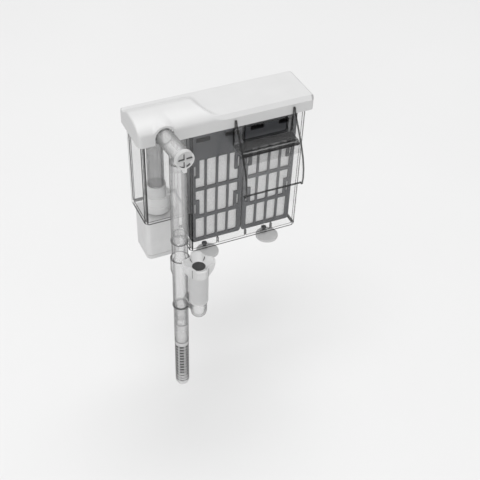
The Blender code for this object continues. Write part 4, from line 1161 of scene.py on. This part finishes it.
def split_across_y(item, level):
    """Cut the faces of a piece along one upright plane, without changing its shape."""
    shape = bmesh.new()
    shape.from_mesh(item.data)
    everything = list(shape.verts) + list(shape.edges) + list(shape.faces)
    bmesh.ops.bisect_plane(shape, geom=everything, plane_co=(0.0, level * MM, 0.0), plane_no=(0.0, 1.0, 0.0))
    shape.to_mesh(item.data)
    shape.free()


def dress_cover(looks):
    cover = place(build_cover(), looks["cover"], "cover", 40.0)

    # Painted shade: a darker grey on the back and right rounded edges of the cover.
    def is_shaded_far_edge(centre, normal):
        outside = centre.y > COVER_Y[1] - 3.0 or centre.x > COVER_X[1] - 3.0
        return outside and 0.15 < normal.z < 0.97

    def is_notch(centre, normal):
        from_axis = math.hypot(centre.x - ARCH_X, centre.z - ELBOW_Z)
        return from_axis < 12.0 and abs(normal.y) < 0.3 and centre.y < 11.9 and centre.z < ELBOW_Z + 10.0

    paint(cover, looks["cover_edge_shade"], is_shaded_far_edge)
    paint(cover, looks["shade"], is_notch)


def dress_housing(looks):
    housing = build_housing()
    split_across_y(housing, RIB_END)
    place(housing, looks["wall"], "housing")

    # Painted shade: dark outlines on the top rim, the rib tops and ends and the edges of the weir's window.
    def is_shaded_rim(centre, normal):
        at_top = centre.z > HOUSING_TOP - 0.2
        on_rib = abs(centre.z - RIB_TOP) < 0.2 and abs(normal.z) > 0.9
        in_wall = HOUSING_Y[0] + 0.05 < centre.y < HOUSING_Y[0] + WALL - 0.05
        on_window = in_wall and abs(normal.y) < 0.2 and centre.z > -1.0
        at_rib_end = abs(normal.x) > 0.9 and centre.y < RIB_END and centre.z < RIB_TOP + 0.1
        on_rib_end = at_rib_end and min(abs(centre.x - x) for x in RIB_X) < 1.0
        return at_top or on_rib or on_rib_end or on_window

    paint(housing, looks["pump_wall"], lambda centre, normal: centre.x < DIVIDER_X[0] - 6.0)
    paint(housing, looks["rim"], is_shaded_rim)
    outlet = place(build_outlet(), looks["outlet"], "waterfall_outlet")

    # Painted shade: dark outlines on the cheeks' sides, the lip, the bend and the window's edges.
    def is_shaded_edge(centre, normal):
        side = abs(normal.x) < 0.3
        near_cheek = centre.x < SPOUT_X[0] + SPOUT_WALL or centre.x > SPOUT_X[1] - SPOUT_WALL
        lip = centre.z < -40.9
        bend = -10.5 < centre.y < -9.2 and 0.0 < centre.z < 1.9 and side
        window = 7.3 < centre.y < 8.9 and abs(normal.y) < 0.2
        return (side and near_cheek) or lip or bend or window

    # Painted reflection: a darker tint on the bridge's level faces, standing for the dark cartridges
    # reflected in them.
    def is_bridge_with_painted_reflection(centre, normal):
        return abs(normal.z) > 0.9 and -8.5 < centre.y < 9.1 and -0.1 < centre.z < 2.1

    paint(outlet, looks["bridge"], is_bridge_with_painted_reflection)
    paint(outlet, looks["rim"], is_shaded_edge)


def from_tube(centre):
    """Distance from the upright axis of the inlet tube."""
    return math.hypot(centre.x - TUBE_X, centre.y - TUBE_Y)


def from_float(centre):
    """Distance from the upright axis of the float and its cup."""
    return math.hypot(centre.x - FLOAT_X, centre.y - FLOAT_Y)


def is_shaded_pocket_side(centre, normal):
    """Walls of the four pockets in the knob's face, which get a painted shade."""
    from_axis = math.hypot(centre.x - TUBE_X - 0.9, centre.z - ELBOW_Z)
    return abs(normal.y) < 0.3 and from_axis < 7.75 and centre.y < ELBOW_FRONT - 1.5


def is_shaded_strainer_inside(centre, normal):
    """Inner wall and slot sides of the strainer, between the band and the closed end, which get a painted
    shade.
    """
    outward = Vector((centre.x - TUBE_X, centre.y - TUBE_Y, 0.0)).normalized()
    return STRAINER_BOTTOM + 8.8 < centre.z < SLOT_TOP + 0.1 and normal.dot(outward) < 0.5


def is_shaded_tube_end(centre, normal):
    """Level ring faces of the tubes, but not the floor of the float's cup; they get a painted shade."""
    return abs(normal.z) > 0.9 and from_float(centre) > 9.5


def is_skimmer_link(centre, normal):
    """The branch between the skimmer's tube and the float's cup."""
    return from_tube(centre) > 8.6 and from_float(centre) > 9.0 and centre.z < COLLAR_Z[0] - 15.0


def is_shaded_funnel_throat(centre, normal):
    """Throat and sleeve inside the float, which get a painted shade."""
    return from_float(centre) < 9.4 and FLOAT_BOTTOM + 1.0 < centre.z < FLOAT_TOP - 6.0


def is_funnel_slit(centre, normal):
    """Sides of the float's four slits and the creases below them."""
    from_axis = from_float(centre)
    below_top = FLOAT_TOP - centre.z
    in_slit = 7.6 < from_axis < 11.0 and abs(normal.z) < 0.2 and -0.5 < below_top < 5.5
    angle = math.atan2(centre.y - FLOAT_Y, centre.x - FLOAT_X)
    from_hollow = abs((angle - FLOAT_TURN) % (math.pi / 2.0) - math.pi / 4.0)
    in_crease = from_axis > 10.9 and from_hollow < math.radians(2.0) and 1.5 < below_top < 13.0
    return in_slit or in_crease


def dress_pipes(looks):
    elbow = place(build_elbow(), looks["elbow"], "elbow")
    # painted shade: a dark ring at the foot of the elbow
    paint(elbow, looks["edge"], lambda centre, normal: abs(normal.z) > 0.9 and centre.z < ELBOW_FOOT + 0.3)
    for node, build, look in (("riser_tube", build_riser_tube, "riser"),
                              ("inlet_tube", build_inlet_tube, "tube"),
                              ("skimmer_body", build_skimmer_body, "skimmer"),
                              ("extension_tube", build_extension_tube, "tube")):
        item = place(build(), looks[look], node)
        if node == "skimmer_body":
            paint(item, looks["link"], is_skimmer_link)
        paint(item, looks["edge"], is_shaded_tube_end)
    strainer = place(build_strainer(), looks["strainer"], "strainer")
    paint(strainer, looks["rim"], is_shaded_strainer_inside)
    funnel = place(build_skimmer_float(), looks["float"], "skimmer_float", 50.0)
    # painted shade inside the float's throat and on the float's slits and creases
    paint(funnel, looks["throat_shade"], is_shaded_funnel_throat)
    paint(funnel, looks["shade"], is_funnel_slit)
    knob = place(build_flow_knob(), looks["knob"], "flow_knob")
    paint(knob, looks["rim"], is_shaded_pocket_side)
    place(build_flow_shutter(), looks["knob"], "flow_shutter")


def dress_pump(looks):
    place(build_volute_cup(), looks["cup"], "volute_cup")
    place(build_riser_socket(), looks["cup"], "riser_socket")
    soften(place(build_motor_case(), looks["pump"], "motor_case"), 0.5)
    soften(place(build_motor_base(), looks["pump"], "motor_base"), 0.5)
    for node, look in (("stator_core", "steel"), ("coil", "winding"), ("rotor_well", "pump"),
                       ("o_ring", "rubber"), ("cable_gland", "rubber"), ("impeller", "impeller"),
                       ("rotor_magnet", "magnet"), ("shaft", "ceramic"), ("lower_bush", "rubber"),
                       ("upper_bush", "rubber")):
        dress_cad(node, looks[look])


def dress_cartridges(looks):
    centre = (CART_Y[0] + CART_Y[1]) / 2.0
    for side in SIDES:
        left = CART_LEFT[side]
        name = "cartridge_" + side
        for node, face, open_side in ((name + "_front_frame", CART_Y[0], centre - GAP / 2.0),
                                      (name + "_back_frame", CART_Y[1], centre + GAP / 2.0)):
            item = place(build_cartridge_frame(node, left, face, open_side), looks["slate"], node)
            soften(item, 0.35)
        for node in (name + "_front_pad", name + "_back_pad"):
            sizes = [reach(node, axis) for axis in "xyz"]
            place(build_pad(node, *sizes, seed=left), looks["wool"], node)
        dress_cad(name + "_carbon", looks["granules"])


def dress_levellers(looks):
    for side in SIDES:
        place(build_leveller(side), looks["disc"], "leveller_disc_" + side)
        dress_cad("leveller_pivot_" + side, looks["slate"], 0.2)


# ---------------------------------------------------------------- studio

def build_studio():
    low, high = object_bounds()
    bpy.ops.mesh.primitive_plane_add(size=14.0, location=(0.0, 0.0, low[2] - 0.012))
    floor = bpy.context.object
    floor.name = "floor"
    n = Nodes("pale_floor")
    shader = n.add("ShaderNodeBsdfPrincipled")
    shader.inputs["Roughness"].default_value = 0.9
    n.link(n.ramp(n.noise(3.0), [(0.3, grey(0.69)), (0.7, grey(0.70))]), shader.inputs["Base Color"])
    floor.data.materials.append(n.finish(shader.outputs["BSDF"]))

    world = bpy.data.worlds.new("studio")
    bpy.context.scene.world = world
    world.use_nodes = True
    sky = world.node_tree.nodes["Background"]
    sky.inputs["Color"].default_value = (*grey(1.0), 1.0)
    sky.inputs["Strength"].default_value = 0.58

    target = Vector(((low[0] + high[0]) / 2.0, (low[1] + high[1]) / 2.0, 0.0))
    for name, offset, size, power in (("key", (-0.7, -0.2, 3.5), 2.2, 56.0),
                                      ("top", (0.8, 1.3, 3.4), 2.4, 50.0),
                                      ("fill", (-1.6, -3.0, 1.3), 2.0, 40.0)):
        light = bpy.data.lights.new(name, "AREA")
        light.shape = "DISK"
        light.size = size
        light.energy = power
        holder = bpy.data.objects.new(name, light)
        holder.location = target + Vector(offset)
        holder.rotation_euler = (target - holder.location).to_track_quat("-Z", "Y").to_euler()
        bpy.context.scene.collection.objects.link(holder)


def build_camera():
    camera = bpy.data.cameras.new("camera")
    camera.sensor_width = 36.0
    camera.lens = CAMERA_LENS
    camera.shift_x = CAMERA_SHIFT[0]
    camera.shift_y = CAMERA_SHIFT[1]
    camera.clip_start = 0.02
    holder = bpy.data.objects.new("camera", camera)
    holder.location = Vector(CAMERA_PLACE) * MM
    holder.rotation_euler = [math.radians(angle) for angle in CAMERA_TURN]
    bpy.context.scene.collection.objects.link(holder)
    bpy.context.scene.camera = holder


def main():
    looks = make_looks()
    dress_cover(looks)
    dress_housing(looks)
    dress_pipes(looks)
    dress_pump(looks)
    dress_cartridges(looks)
    dress_levellers(looks)
    build_studio()
    build_camera()
    bpy.context.scene.view_settings.view_transform = "Standard"
    bpy.context.scene.cycles.transparent_max_bounces = 40


main()
